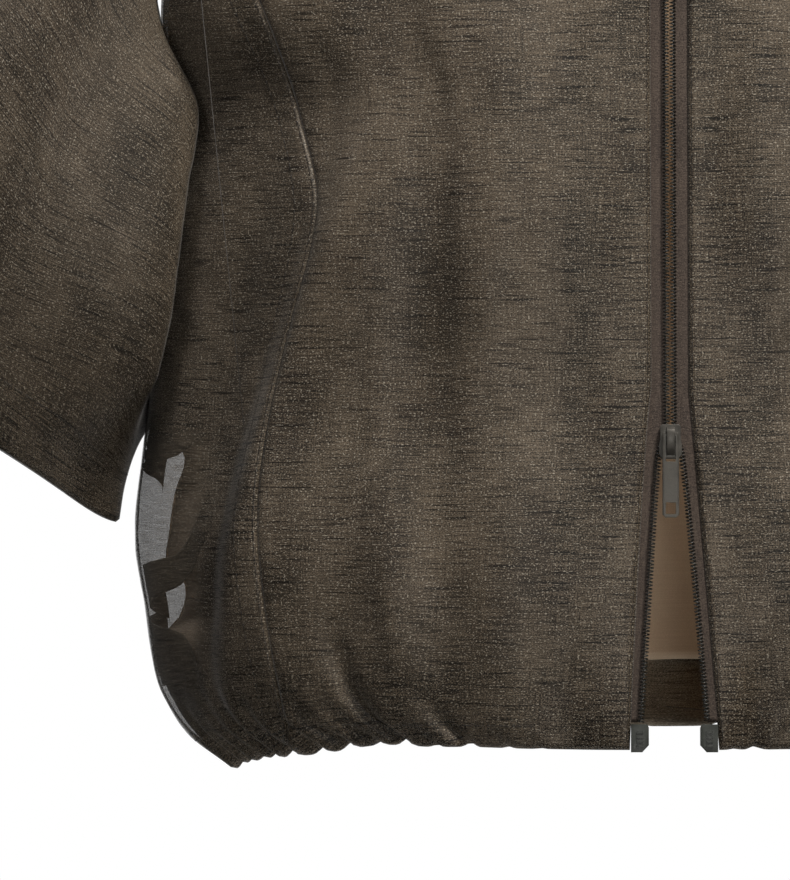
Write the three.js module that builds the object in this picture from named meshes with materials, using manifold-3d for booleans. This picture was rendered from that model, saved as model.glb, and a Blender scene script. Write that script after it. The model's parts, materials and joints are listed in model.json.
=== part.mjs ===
// Short-sleeved blouson jacket in a light, see-through cloth: zip front with two sliders, stand collar,
// gathered elastic hem, half lining. Millimetres, +Z up, front faces -Y, the wearer's right is -X.
// Heights are measured from the front hem, and the whole jacket is then set so that the origin
// is the centre back of the neck, the point a garment is measured and held from.
import * as THREE from 'three';
import { mergeVertices } from 'three/addons/utils/BufferGeometryUtils.js';
import Module from 'manifold-3d';

const wasm = await Module();
wasm.setup();

// ---- Driving dimensions -------------------------------------------------------------------

// Grading to other garment sizes: the zip, the stitching and the cloth layers keep their own sizes
const LENGTH_GRADE = 1;
const WIDTH_GRADE = 1;

// Body, as heights above the hem and half widths there
const UNDERARM_HEIGHT = 285 * LENGTH_GRADE;
const SHOULDER_TIP_HEIGHT = 470 * LENGTH_GRADE;
const BODY_HALF_WIDTHS = [
  [0, 191], [12, 212], [30, 226], [60, 232], [88, 235], [110, 233.5], [150, 228],
  [191, 222], [234, 216.5], [270, 212.5], [285, 216], [320, 240], [360, 252], [400, 256],
  [440, 255], [470, 250],
];
const BACK_DEPTHS = [[0, 88], [30, 102], [90, 112], [200, 116], [330, 118], [420, 108], [470, 98]];
const FRONT_DEPTH_AT_HEM = 122;
const FRONT_LEAN = 0.07; // how far the straight front line comes back for each millimetre it rises
const BODY_ROUNDNESS = 2.3; // 2 is an ellipse, more is boxier
const HEM_DROOP = 17; // how much lower the hem hangs at the sides
const DROOP_FADE_HEIGHT = 60;

// Neck and collar
const NECK_HALF_WIDTH = 80;
const NECK_BACK_DEPTH = 62;
const NECK_ROUNDNESS = 2.8;
const NECK_FRONT_HEIGHT = SHOULDER_TIP_HEIGHT + 25;
const NECK_SIDE_HEIGHT = SHOULDER_TIP_HEIGHT + 68;
const NECK_BACK_HEIGHT = SHOULDER_TIP_HEIGHT + 75;
const SHOULDER_ROUNDING = 35;
const COLLAR_HEIGHT = 48;
const COLLAR_TAPER = 0.97;

// Armholes and sleeves
const ARMHOLE_FRONT_SPREAD = 34; // degrees round the body from the side line
const ARMHOLE_BACK_SPREAD = 32;
const SLEEVE_TILT = 31.5; // degrees, the hem edge against the horizontal
const SLEEVE_HEM_INNER_X = 240 * WIDTH_GRADE;
const SLEEVE_HEM_INNER_HEIGHT = 95.5 * LENGTH_GRADE;
const SLEEVE_HALF_WIDTH = 88;
const SLEEVE_HALF_DEPTH = 52;
const SLEEVE_BACKSET = 12; // how far behind the side line the sleeve opening is centred
const SLEEVE_HEM_DEPTH = 36;

// Cloth layers
const SHELL_THICKNESS = 1;
const LAYER_THICKNESS = 0.8;
const LAYER_GAP = 0.6;
const EDGE_GAP = 0.5; // between two panels along a seam
const INNER_EDGE_GAP = 4; // the same between inner layers, whose edges bend towards each other
const SLEEVE_CLEARANCE = 1.6; // between the underside of the sleeve and the body
const HEM_FACING_HEIGHT = 33;
const LINING_HEM = 30;
const LINING_GAP = 1.1; // between the facings and the lining that laps over them
const ELASTIC_BOTTOM = 2.5;
const ELASTIC_WIDTH = 6;
const ELASTIC_TOP = ELASTIC_BOTTOM + ELASTIC_WIDTH;
const ELASTIC_START = 58; // from the zip line, the front hem is flat up to here
const FRONT_FACING_WIDTH = 36;
const FACING_OVERLAP = 7; // how far the lining laps over a facing
const FACING_SETBACK = 2; // of a facing's ends from the hem turn-up and the neck
const LINING_NECK_SETBACK = 4;
const HEM_ROLL = 1; // where a turn-up begins, above the fold

// Panel seam on the front: height above the hem and distance from the zip line
const SIDE_SEAM = [
  [0, 165], [60, 173], [110, 175.5], [170, 167], [230, 152], [274, 161], [316, 175], [375, 199], [413, 212],
];
const SIDE_PANEL_TIP = 3; // least width of the side panel, where it runs out at the armhole

// Zip
const ZIP_EDGE = 8; // from the zip line to the folded cloth edge
const ZIP_OPEN_HEIGHT = 124.5; // the zip is open below the lower slider
const COIL_PITCH_HALF = 1.5; // from the zip line to the middle of each coil
const COIL_HALF_WIDTH = 1.3;
const COIL_HALF_HEIGHT = 1.05;
const COIL_PROUD = 0.7; // how far the coil stands out of the cloth
const TAPE_THICKNESS = 0.7;
const TAPE_INNER_EDGE = 1.8;
const TAPE_LAP = 5.5; // how far the tape reaches under the cloth edge
const TAPE_SETBACK = 0.2; // extra room between the cloth and the tape, for the curve of the body
const SLIDER_LENGTH = 14.5;
const SLIDER_WIDTH = 9.8;
const SLIDER_NARROW_WIDTH = 8.8;
const SLIDER_PLATE = 1.2;
const SLIDER_CLEARANCE = 0.3;
const COIL_SPREAD_AT_SLIDER = 5.2; // from the zip line to the coil where it enters a slider
const CROWN_WIDTH = 3.4;
const CROWN_HEIGHT = 3.6;
const CROWN_WALL = 0.9;
const CROWN_LENGTH = 12;
const PULL_LENGTH = 36.5;
const PULL_WIDTH = 7.1;
const PULL_THICKNESS = 1.4;
const PULL_BAR = 1.3;
const PULL_EYE_LENGTH = 12.5;
const PULL_SLOT = 5;
const BAR_FROM_CROWN_END = 2.9;
const TOP_STOP_HEIGHT = 2.2;
const END_BLOCK = {
  width: 7.6, height: 12.5, thickness: 2.6, chamfer: 2, chamferWidth: 2.8,
  lip: 2.5, drop: 1, shoulder: 1.6, step: 3, rounding: 0.6,
};
const BLOCK_RIBS = { count: 4, inset: 2.4, width: 3, proud: 0.5, sunk: 0.3, share: 0.55, clear: 4.5 };
const PLATE = { corner: 1.2, cornerLength: 1.4, shoulder: 5.5, narrowed: 8.5, throatCut: 0.8 };
// Post that parts the coils: half width and height above the mouth
const WEDGE = [[3, 0.2], [2.6, 1.8], [0.8, 6]];
const POST = { half: 1.4, low: 0.6, high: 3.6 }; // joins the plates behind the coils
const RAIL_LENGTH = 3;
const CROWN_START = 1.2; // from the slider's mouth
const CROWN_RISE = { foot: 1.6, length: 3.4, inner: 1.6, innerLength: 3.6, ease: 0.2 };
const CROWN_FALL = { foot: 1.8, length: 2.6, inner: 1.2, innerLength: 1.9, ease: 0.3, innerEase: 0.5 };
const PULL_CORNER = 1.2;
const PULL_TOP_CORNER = 0.5;
const PULL_EYE_CLEARANCE = 0.4;
const PULL_SLOT_HALF_WIDTH = 2.2;
const PULL_SLOT_RIM = 1.4;
const TOP_STOP_REACH = { inward: 1.2, outward: 1.4 };
const SUNK = 0.1; // how far joined solids reach into each other
const COIL_BOW = 0.9; // below 1 the open coils bow outward as they part
const COIL_MOUTH_LEAD = 2;
const COIL_STRAIGHT_MARGIN = 60; // from a slider to where the straight stretch of coil begins

// Opening of the two zip edges at the hem, wearer's right and left
const SIDES = [
  { name: 'right', sign: -1, coilGap: 12, edgeGap: 9.7, edgePower: 0.75 },
  { name: 'left', sign: 1, coilGap: 15, edgeGap: 13, edgePower: 0.95 },
];

// Mesh fineness
const CASING_TOP = 16; // level just above the elastic
const HEM_LEVELS = [0, ELASTIC_BOTTOM, ELASTIC_TOP, CASING_TOP, LINING_HEM];
const BODY_STEPS = 5;
const FRONT_COLUMNS = 8;
const SIDE_COLUMNS = 4;
const BACK_COLUMNS = 16;
const ARMHOLE_STEPS = 8;
const YOKE_STEPS = 4;
const FACING_COLUMNS = 3;
const COLLAR_COLUMNS = 30;
const SLEEVE_ROWS = [0.3, 0.5, 0.7, 0.86]; // shares of the sleeve's length
const LEVEL_MARGIN = 1; // rows nearer than this to an edge are left out
const COIL_STEPS = 6;
const COIL_STRAIGHT_STEPS = 4;
const COIL_SIDES = 8;
const SEAM_TOP_STEP = 5; // the armhole step at which the front panel seam runs into the armhole

// ---- Finishes -----------------------------------------------------------------------------

const finish = (color, roughness, metalness = 0) =>
  new THREE.MeshStandardMaterial({ color, roughness, metalness });
const SHELL_CLOTH = finish('#463f35', 0.55);
const LINING_CLOTH = finish('#605041', 0.6);
const TAPE_CLOTH = finish('#413b34', 0.85);
const ELASTIC_CLOTH = finish('#2e2a25', 0.9);
const COIL_NYLON = finish('#23241f', 0.4);
const BLOCK_PLASTIC = finish('#3c413c', 0.45);
const SLIDER_METAL = finish('#64615b', 0.35, 0.8);

// ---- Small helpers ------------------------------------------------------------------------

const RIGHT_ANGLE = Math.PI / 2;
const radians = THREE.MathUtils.degToRad;
const clamp = THREE.MathUtils.clamp;
const vec = (x, y, z) => new THREE.Vector3(x, y, z);

/** A table of heights and distances from the middle, graded to the garment size. */
const graded = (table, widthGrade = WIDTH_GRADE) =>
  table.map(([height, value]) => [height * LENGTH_GRADE, value * widthGrade]);

/** Smooth value at a height from a short table of [height, value] pairs. */
function curveValue(table, height) {
  const last = table.length - 1;
  const h = clamp(height, table[0][0], table[last][0]);
  const i = Math.min(table.findIndex((row, k) => k === last || h < table[k + 1][0]), last - 1);
  const slope = (k) => {
    const a = table[Math.max(k - 1, 0)];
    const b = table[Math.min(k + 1, last)];
    return (b[1] - a[1]) / (b[0] - a[0]);
  };
  const [h0, v0] = table[i];
  const [h1, v1] = table[i + 1];
  const span = h1 - h0;
  const t = (h - h0) / span;
  const t2 = t * t;
  const t3 = t2 * t;
  return (2 * t3 - 3 * t2 + 1) * v0 + (t3 - 2 * t2 + t) * span * slope(i)
    + (3 * t2 - 2 * t3) * v1 + (t3 - t2) * span * slope(i + 1);
}

/** Point on a rounded box outline of half sizes a and b, turning from the front towards the side. */
function roundedOutline(angle, a, b, roundness) {
  const turn = Math.atan2(a * Math.sin(angle), b * Math.cos(angle));
  const s = Math.abs(Math.sin(turn)) / a;
  const c = Math.abs(Math.cos(turn)) / b;
  const r = (s ** roundness + c ** roundness) ** (-1 / roundness);
  return [r * Math.sin(turn), -r * Math.cos(turn)];
}

// ---- The body surface ---------------------------------------------------------------------

const HALF_WIDTHS = graded(BODY_HALF_WIDTHS);
const BACKS = graded(BACK_DEPTHS, 1);
const SEAM_LINE = graded(SIDE_SEAM);
const YOKE_RISE = 100; // levels above the shoulder tip run from 0 to this at the neck seam
const TOP_LEVEL = SHOULDER_TIP_HEIGHT + YOKE_RISE;
const frontDepth = (height) => FRONT_DEPTH_AT_HEM - FRONT_LEAN * height;

/** A body ring below the shoulder tip, as a point at an angle round from the front centre. */
function ringPoint(angle, level) {
  const a = curveValue(HALF_WIDTHS, level);
  const b = Math.cos(angle) > 0 ? frontDepth(level) : curveValue(BACKS, level);
  const [x, y] = roundedOutline(angle, a, b, BODY_ROUNDNESS);
  const fade = Math.max(0, 1 - level / DROOP_FADE_HEIGHT);
  return vec(x, y, level - HEM_DROOP * Math.sin(angle) ** 4 * fade);
}

/** The neck seam. */
function neckPoint(angle) {
  const front = Math.cos(angle) > 0;
  const c2 = Math.cos(angle) ** 2;
  const z = NECK_SIDE_HEIGHT + c2 * ((front ? NECK_FRONT_HEIGHT : NECK_BACK_HEIGHT) - NECK_SIDE_HEIGHT);
  const b = front ? frontDepth(NECK_FRONT_HEIGHT) : NECK_BACK_DEPTH;
  const [x, y] = roundedOutline(angle, NECK_HALF_WIDTH, b, NECK_ROUNDNESS);
  return vec(x, y, z);
}

/** Any point of the body surface: straight up to the shoulder tip, then curving in to the neck seam. */
function bodyPoint(angle, level) {
  const low = ringPoint(angle, Math.min(level, SHOULDER_TIP_HEIGHT));
  if (level <= SHOULDER_TIP_HEIGHT) return low;
  const w = (level - SHOULDER_TIP_HEIGHT) / YOKE_RISE;
  const neck = neckPoint(angle);
  const rising = low.clone().sub(ringPoint(angle, SHOULDER_TIP_HEIGHT - 1));
  const bend = low.clone().addScaledVector(rising, Math.min(SHOULDER_ROUNDING, (neck.z - low.z) / 2));
  return low.clone().multiplyScalar((1 - w) ** 2)
    .addScaledVector(bend, 2 * w * (1 - w))
    .addScaledVector(neck, w * w);
}

/** The collar, from the neck seam (0) to its top edge (1). */
function collarPoint(angle, up) {
  const base = neckPoint(angle);
  const front = Math.max(0, Math.cos(angle)) ** 2;
  const top = vec(base.x * COLLAR_TAPER, base.y * COLLAR_TAPER, base.z + COLLAR_HEIGHT);
  const onZipLine = -frontDepth(NECK_FRONT_HEIGHT + COLLAR_HEIGHT) - top.y;
  top.y += onZipLine * front;
  return base.lerp(top, up);
}

/** The angle at which the body surface is a given distance from the zip line, on the front. */
function angleAtX(x, pointAt) {
  let low = 0;
  let high = RIGHT_ANGLE;
  for (let i = 0; i < 40; i += 1) {
    const middle = (low + high) / 2;
    if (pointAt(middle).x < x) low = middle;
    else high = middle;
  }
  return (low + high) / 2;
}
const bodyAngleAtX = (x, level) => angleAtX(x, (angle) => bodyPoint(angle, level));

const ARMHOLE_MIDDLE = (UNDERARM_HEIGHT + SHOULDER_TIP_HEIGHT) / 2;
const ARMHOLE_HALF_HEIGHT = (SHOULDER_TIP_HEIGHT - UNDERARM_HEIGHT) / 2;

/** How far the armhole opens to the front or back of the side line at a level, in radians. */
function armholeSpread(level, spread) {
  const share = clamp((level - ARMHOLE_MIDDLE) / ARMHOLE_HALF_HEIGHT, -1, 1);
  return radians(spread) * Math.sqrt(1 - share * share);
}

/** Small angle that a gap along a seam takes up at the side line. */
const seamAngle = (gap, level) => gap / frontDepth(Math.min(level, SHOULDER_TIP_HEIGHT));

const frontArmholeEdge = (level, gap = EDGE_GAP) =>
  RIGHT_ANGLE - armholeSpread(level, ARMHOLE_FRONT_SPREAD) - seamAngle(gap / 2, level);
const backArmholeEdge = (level, gap = EDGE_GAP) =>
  RIGHT_ANGLE + armholeSpread(level, ARMHOLE_BACK_SPREAD) + seamAngle(gap / 2, level);

/** Where the cloth edge beside the zip lies: straight above the lower slider, spreading below it. */
function zipEdge(side, level) {
  const open = clamp(1 - level / (ZIP_OPEN_HEIGHT + 2 * SLIDER_LENGTH), 0, 1);
  return ZIP_EDGE + side.edgeGap * open ** side.edgePower;
}
const zipEdgeAngle = (side, level, extra = 0) => bodyAngleAtX(zipEdge(side, level) + extra, level);

// ---- Cloth solids -------------------------------------------------------------------------

function meshFrom(name, material, positions, indices) {
  const geometry = new THREE.BufferGeometry();
  geometry.setAttribute('position', new THREE.Float32BufferAttribute(positions, 3));
  geometry.setIndex(indices);
  geometry.computeVertexNormals();
  const mesh = new THREE.Mesh(geometry, material);
  mesh.name = name;
  return mesh;
}

/** Unit normal of a grid of points, by differences to the neighbours. */
function gridNormal(grid, i, j, wraps) {
  const rows = grid.length;
  const columns = grid[0].length;
  const left = wraps ? (j - 1 + columns) % columns : Math.max(j - 1, 0);
  const right = wraps ? (j + 1) % columns : Math.min(j + 1, columns - 1);
  const across = grid[i][right].clone().sub(grid[i][left]);
  const up = grid[Math.min(i + 1, rows - 1)][j].clone().sub(grid[Math.max(i - 1, 0)][j]);
  return across.cross(up).normalize();
}

/**
 * A cloth layer: the grid is the garment's outer surface, and the layer lies between two depths
 * under it. Rows run upwards, and columns anticlockwise seen from above, so normals point out.
 */
function clothLayer(name, material, grid, depth, thickness, wraps = false) {
  const rows = grid.length;
  const columns = grid[0].length;
  const positions = [];
  for (const d of [depth, depth + thickness]) {
    for (let i = 0; i < rows; i += 1) {
      for (let j = 0; j < columns; j += 1) {
        const p = grid[i][j].clone().addScaledVector(gridNormal(grid, i, j, wraps), -d);
        positions.push(p.x, p.y, p.z);
      }
    }
  }
  const indices = [];
  const at = (layer, i, j) => (layer * rows + i) * columns + (j % columns);
  const quad = (a, b, c, d) => indices.push(a, b, c, a, c, d);
  const spans = wraps ? columns : columns - 1;
  for (let i = 0; i < rows - 1; i += 1) {
    for (let j = 0; j < spans; j += 1) {
      quad(at(0, i, j), at(0, i, j + 1), at(0, i + 1, j + 1), at(0, i + 1, j));
      quad(at(1, i, j), at(1, i + 1, j), at(1, i + 1, j + 1), at(1, i, j + 1));
    }
  }
  for (let j = 0; j < spans; j += 1) {
    quad(at(1, 0, j), at(1, 0, j + 1), at(0, 0, j + 1), at(0, 0, j));
    quad(at(0, rows - 1, j), at(0, rows - 1, j + 1), at(1, rows - 1, j + 1), at(1, rows - 1, j));
  }
  for (let i = 0; i < rows - 1 && !wraps; i += 1) {
    quad(at(0, i, 0), at(0, i + 1, 0), at(1, i + 1, 0), at(1, i, 0));
    const j = columns - 1;
    quad(at(1, i, j), at(1, i + 1, j), at(0, i + 1, j), at(0, i, j));
  }
  return meshFrom(name, material, positions, indices);
}

const spread = (from, to, steps) =>
  Array.from({ length: steps + 1 }, (_, i) => from + ((to - from) * i) / steps);

/**
 * Grid of body points between two edges given as angles at each level. On the wearer's right the
 * surface is mirrored, so its columns are turned round to keep the normals pointing out.
 */
function bodyGrid(sign, levels, columns, fromAngle, toAngle) {
  return frontGrid(sign, levels, (level) => spread(fromAngle(level), toAngle(level), columns));
}

/** The same from a list of angles at each level. */
function frontGrid(sign, levels, anglesAt) {
  return levels.map((level) => {
    const row = anglesAt(level).map((angle) => {
      const p = bodyPoint(angle, level);
      p.x *= sign;
      return p;
    });
    return sign < 0 ? row.reverse() : row;
  });
}

const ARMHOLE_LEVELS = spread(0, Math.PI, ARMHOLE_STEPS)
  .map((turn) => ARMHOLE_MIDDLE - ARMHOLE_HALF_HEIGHT * Math.cos(turn));
const YOKE_LEVELS = spread(SHOULDER_TIP_HEIGHT, TOP_LEVEL, YOKE_STEPS).slice(1);
const BODY_LEVELS = spread(DROOP_FADE_HEIGHT, UNDERARM_HEIGHT, BODY_STEPS).slice(0, -1);
const LEVELS = [...HEM_LEVELS, ...BODY_LEVELS, ...ARMHOLE_LEVELS, ...YOKE_LEVELS];
const SEAM_TOP_LEVEL = ARMHOLE_LEVELS[SEAM_TOP_STEP];
const levelsBetween = (low, high) => [
  low, ...LEVELS.filter((h) => h > low + LEVEL_MARGIN && h < high - LEVEL_MARGIN), high,
];

/** The front panel seam, which always leaves the side panel some width before the armhole. */
function sideSeamAngle(level) {
  const limit = frontArmholeEdge(level) - seamAngle(SIDE_PANEL_TIP, level);
  return Math.min(bodyAngleAtX(curveValue(SEAM_LINE, level), level), limit);
}

const FACING_DEPTH = SHELL_THICKNESS + LAYER_GAP + TAPE_THICKNESS + LAYER_GAP;
const LINING_DEPTH = FACING_DEPTH + LAYER_THICKNESS + LINING_GAP;

function shellFront(side) {
  const edge = (level) => zipEdgeAngle(side, level);
  const seam = (level) => (level < SEAM_TOP_LEVEL + LEVEL_MARGIN
    ? sideSeamAngle(level) - seamAngle(EDGE_GAP / 2, level)
    : frontArmholeEdge(level));
  const grid = bodyGrid(side.sign, LEVELS, FRONT_COLUMNS, edge, seam);
  return clothLayer(`shell_front_${side.name}`, SHELL_CLOTH, grid, 0, SHELL_THICKNESS);
}

function shellSide(side) {
  const seam = (level) => sideSeamAngle(level) + seamAngle(EDGE_GAP / 2, level);
  const grid = bodyGrid(side.sign, levelsBetween(0, SEAM_TOP_LEVEL), SIDE_COLUMNS, seam, frontArmholeEdge);
  return clothLayer(`shell_side_${side.name}`, SHELL_CLOTH, grid, 0, SHELL_THICKNESS);
}

/** Angles across the back, from the side line on the wearer's left round to the one on the right. */
const backAngles = (level, gap) =>
  spread(backArmholeEdge(level, gap), 2 * Math.PI - backArmholeEdge(level, gap), BACK_COLUMNS);

const backGrid = (levels, gap = EDGE_GAP) =>
  levels.map((level) => backAngles(level, gap).map((angle) => bodyPoint(angle, level)));

/** Angles across the front from a given start, at the same columns as the two shell panels there. */
function frontAngles(start, level, gap = EDGE_GAP) {
  const edge = frontArmholeEdge(level, gap);
  if (level > SEAM_TOP_LEVEL) return spread(start, edge, FRONT_COLUMNS + SIDE_COLUMNS);
  const seam = sideSeamAngle(level);
  return [...spread(start, seam, FRONT_COLUMNS).slice(0, -1), ...spread(seam, edge, SIDE_COLUMNS)];
}

function shellBack() {
  return clothLayer('shell_back', SHELL_CLOTH, backGrid(LEVELS), 0, SHELL_THICKNESS);
}

function linings() {
  const levels = [LINING_HEM, ...levelsBetween(HEM_FACING_HEIGHT, TOP_LEVEL - LINING_NECK_SETBACK)];
  const fronts = SIDES.map((side) => {
    const grid = frontGrid(side.sign, levels, (level) => frontAngles(
      zipEdgeAngle(side, level, FRONT_FACING_WIDTH - FACING_OVERLAP), level, INNER_EDGE_GAP));
    return clothLayer(`lining_${side.name}`, LINING_CLOTH, grid, LINING_DEPTH, LAYER_THICKNESS);
  });
  const back = backGrid(levels, INNER_EDGE_GAP);
  return [...fronts, clothLayer('lining_back', LINING_CLOTH, back, LINING_DEPTH, LAYER_THICKNESS)];
}

function frontFacing(side) {
  const levels = levelsBetween(HEM_FACING_HEIGHT + FACING_SETBACK, TOP_LEVEL - FACING_SETBACK);
  const inner = (level) => zipEdgeAngle(side, level);
  const outer = (level) => zipEdgeAngle(side, level, FRONT_FACING_WIDTH);
  const grid = bodyGrid(side.sign, levels, FACING_COLUMNS, inner, outer);
  return clothLayer(`front_facing_${side.name}`, SHELL_CLOTH, grid, FACING_DEPTH, LAYER_THICKNESS);
}

function hemFacings() {
  const levels = [HEM_ROLL, ELASTIC_BOTTOM, ELASTIC_TOP, CASING_TOP, LINING_HEM, HEM_FACING_HEIGHT];
  const fronts = SIDES.map((side) => {
    const grid = frontGrid(side.sign, levels, (level) =>
      frontAngles(zipEdgeAngle(side, level), level, INNER_EDGE_GAP));
    return clothLayer(`hem_facing_${side.name}`, SHELL_CLOTH, grid, FACING_DEPTH, LAYER_THICKNESS);
  });
  const back = clothLayer('hem_facing_back', SHELL_CLOTH, backGrid(levels, INNER_EDGE_GAP),
    FACING_DEPTH, LAYER_THICKNESS);
  return [...fronts, back];
}

function hemElastic() {
  const grid = [ELASTIC_BOTTOM, ELASTIC_TOP].map((level) => {
    const front = frontAngles(bodyAngleAtX(ELASTIC_START, level), level);
    const mirrored = front.map((angle) => 2 * Math.PI - angle).reverse();
    return [...front, ...backAngles(level, EDGE_GAP), ...mirrored]
      .map((angle) => bodyPoint(angle, level));
  });
  return clothLayer('hem_elastic', ELASTIC_CLOTH, grid, SHELL_THICKNESS + LAYER_GAP, TAPE_THICKNESS);
}

function collarLayer(name, depth) {
  const rows = [EDGE_GAP / COLLAR_HEIGHT, 1 / 3, 2 / 3, 1];
  const grid = rows.map((up) => {
    const start = angleAtX(ZIP_EDGE, (angle) => collarPoint(angle, up));
    return spread(start, 2 * Math.PI - start, COLLAR_COLUMNS).map((angle) => collarPoint(angle, up));
  });
  return clothLayer(name, SHELL_CLOTH, grid, depth, LAYER_THICKNESS);
}

// ---- Sleeves ------------------------------------------------------------------------------

/** A ring round the armhole, just inside the edges of the body panels. Turn 0 is the shoulder tip. */
function armholeRing(turn) {
  const front = Math.sin(turn) > 0;
  const spreadAngle = radians(front ? ARMHOLE_FRONT_SPREAD : ARMHOLE_BACK_SPREAD);
  const gap = seamAngle(EDGE_GAP, ARMHOLE_MIDDLE);
  const angle = RIGHT_ANGLE - (spreadAngle - gap) * Math.sin(turn);
  const p = bodyPoint(angle, ARMHOLE_MIDDLE + (ARMHOLE_HALF_HEIGHT - 2 * EDGE_GAP) * Math.cos(turn));
  p.x += SLEEVE_CLEARANCE * (1 - Math.cos(turn)) / 2;
  return p;
}

/** The open end of the sleeve: an upright oval, tilted so that its inner corner is the lowest. */
function sleeveHemRing(turn) {
  const tilt = radians(SLEEVE_TILT);
  const fromInner = SLEEVE_HALF_WIDTH * (1 + Math.cos(turn));
  return vec(
    SLEEVE_HEM_INNER_X + fromInner * Math.cos(tilt),
    SLEEVE_BACKSET - SLEEVE_HALF_DEPTH * Math.sin(turn),
    SLEEVE_HEM_INNER_HEIGHT + fromInner * Math.sin(tilt),
  );
}

const SLEEVE_STEPS = 2 * ARMHOLE_STEPS;
const SLEEVE_LENGTH = armholeRing(0).distanceTo(sleeveHemRing(0));

/** Rings of the sleeve from its hem (0) up to the armhole (1), mirrored for the wearer's right. */
function sleeveGrid(sign, rows) {
  return rows.map((up) => {
    const ring = spread(0, 2 * Math.PI, SLEEVE_STEPS).slice(0, -1).map((turn) => {
      const p = sleeveHemRing(turn).lerp(armholeRing(turn), up);
      p.x *= sign;
      return p;
    });
    return sign > 0 ? ring.reverse() : ring;
  });
}

function sleeveParts(side) {
  const hemShare = SLEEVE_HEM_DEPTH / SLEEVE_LENGTH;
  const sleeve = clothLayer(`sleeve_${side.name}`, SHELL_CLOTH,
    sleeveGrid(side.sign, [0, hemShare, ...SLEEVE_ROWS, 1]), 0, SHELL_THICKNESS, true);
  const turnUp = clothLayer(`sleeve_hem_${side.name}`, SHELL_CLOTH,
    sleeveGrid(side.sign, [HEM_ROLL / SLEEVE_LENGTH, hemShare / 2, hemShare]),
    SHELL_THICKNESS + LAYER_GAP, LAYER_THICKNESS, true);
  return [sleeve, turnUp];
}

// ---- Zip ----------------------------------------------------------------------------------
// Zip pieces are made in the plane of the straight front line: x across, z up along the line,
// y is the depth under the cloth's outer face.

const ZIP_TILT = Math.atan(FRONT_LEAN);
const alongZip = (height) => height / Math.cos(ZIP_TILT);
const ZIP_TOP = alongZip(NECK_FRONT_HEIGHT + COLLAR_HEIGHT) - 1;
const LOWER_SLIDER_Z = alongZip(ZIP_OPEN_HEIGHT);
const UPPER_SLIDER_Z = ZIP_TOP - TOP_STOP_HEIGHT - SLIDER_CLEARANCE;
const COIL_DEPTH = COIL_HALF_HEIGHT - COIL_PROUD;
const TAPE_DEPTH = SHELL_THICKNESS + LAYER_GAP + TAPE_SETBACK;

/** Middle of a coil: meshed between the sliders, spreading through each slider and below the lower one. */
function coilX(side, z) {
  const mouth = LOWER_SLIDER_Z;
  const upperThroat = UPPER_SLIDER_Z - SLIDER_LENGTH;
  const ease = (t) => t * t * (3 - 2 * t); // smooth step
  const spreading = COIL_SPREAD_AT_SLIDER - COIL_PITCH_HALF;
  if (z >= upperThroat) {
    return COIL_PITCH_HALF + spreading * ease(clamp((z - upperThroat) / SLIDER_LENGTH, 0, 1));
  }
  if (z >= mouth) {
    return COIL_PITCH_HALF + spreading * ease(clamp(1 - (z - mouth) / SLIDER_LENGTH, 0, 1));
  }
  const atHem = side.coilGap + COIL_PITCH_HALF;
  return COIL_SPREAD_AT_SLIDER + (atHem - COIL_SPREAD_AT_SLIDER) * (1 - z / mouth) ** COIL_BOW;
}

const ZIP_BOTTOM = END_BLOCK.height - 1;
const COIL_LEVELS = [
  ...spread(ZIP_BOTTOM + SLIDER_CLEARANCE, LOWER_SLIDER_Z - COIL_MOUTH_LEAD, COIL_STEPS),
  ...spread(LOWER_SLIDER_Z, LOWER_SLIDER_Z + SLIDER_LENGTH, COIL_STEPS),
  ...spread(LOWER_SLIDER_Z + COIL_STRAIGHT_MARGIN, UPPER_SLIDER_Z - SLIDER_LENGTH - COIL_STRAIGHT_MARGIN,
    COIL_STRAIGHT_STEPS),
  ...spread(UPPER_SLIDER_Z - SLIDER_LENGTH, UPPER_SLIDER_Z, COIL_STEPS),
];

/** A rod or strip swept upwards: every ring has the same number of points, anticlockwise from above. */
function sweptSolid(name, material, rings) {
  const count = rings[0].length;
  const positions = rings.flat().flatMap((p) => [p.x, p.y, p.z]);
  const indices = [];
  for (let i = 0; i < rings.length - 1; i += 1) {
    for (let j = 0; j < count; j += 1) {
      const a = i * count + j;
      const b = i * count + ((j + 1) % count);
      indices.push(a, b, b + count, a, b + count, a + count);
    }
  }
  const top = (rings.length - 1) * count;
  for (let j = 1; j < count - 1; j += 1) {
    indices.push(0, j + 1, j);
    indices.push(top, top + j, top + j + 1);
  }
  return meshFrom(name, material, positions, indices);
}

function zipCoil(side) {
  const rings = COIL_LEVELS.map((z) => {
    const x = side.sign * coilX(side, z);
    return spread(0, 2 * Math.PI, COIL_SIDES).slice(0, -1).map((turn) =>
      vec(x + COIL_HALF_WIDTH * Math.cos(turn), COIL_DEPTH + COIL_HALF_HEIGHT * Math.sin(turn), z));
  });
  return sweptSolid(`zip_coil_${side.name}`, COIL_NYLON, rings);
}

/** The tape runs from beside the coil to under the cloth, and ends in the moulded block at the hem. */
function zipTape(side) {
  const levels = [ZIP_BOTTOM + SLIDER_CLEARANCE, ...COIL_LEVELS.slice(1), ZIP_TOP];
  const rings = levels.map((z) => {
    const inner = coilX(side, z) + TAPE_INNER_EDGE - COIL_PITCH_HALF;
    const outer = zipEdge(side, z) + TAPE_LAP;
    const [low, high] = side.sign > 0 ? [inner, outer] : [-outer, -inner];
    return [
      vec(low, TAPE_DEPTH, z), vec(high, TAPE_DEPTH, z),
      vec(high, TAPE_DEPTH + TAPE_THICKNESS, z), vec(low, TAPE_DEPTH + TAPE_THICKNESS, z),
    ];
  });
  return sweptSolid(`zip_tape_${side.name}`, TAPE_CLOTH, rings);
}

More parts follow.
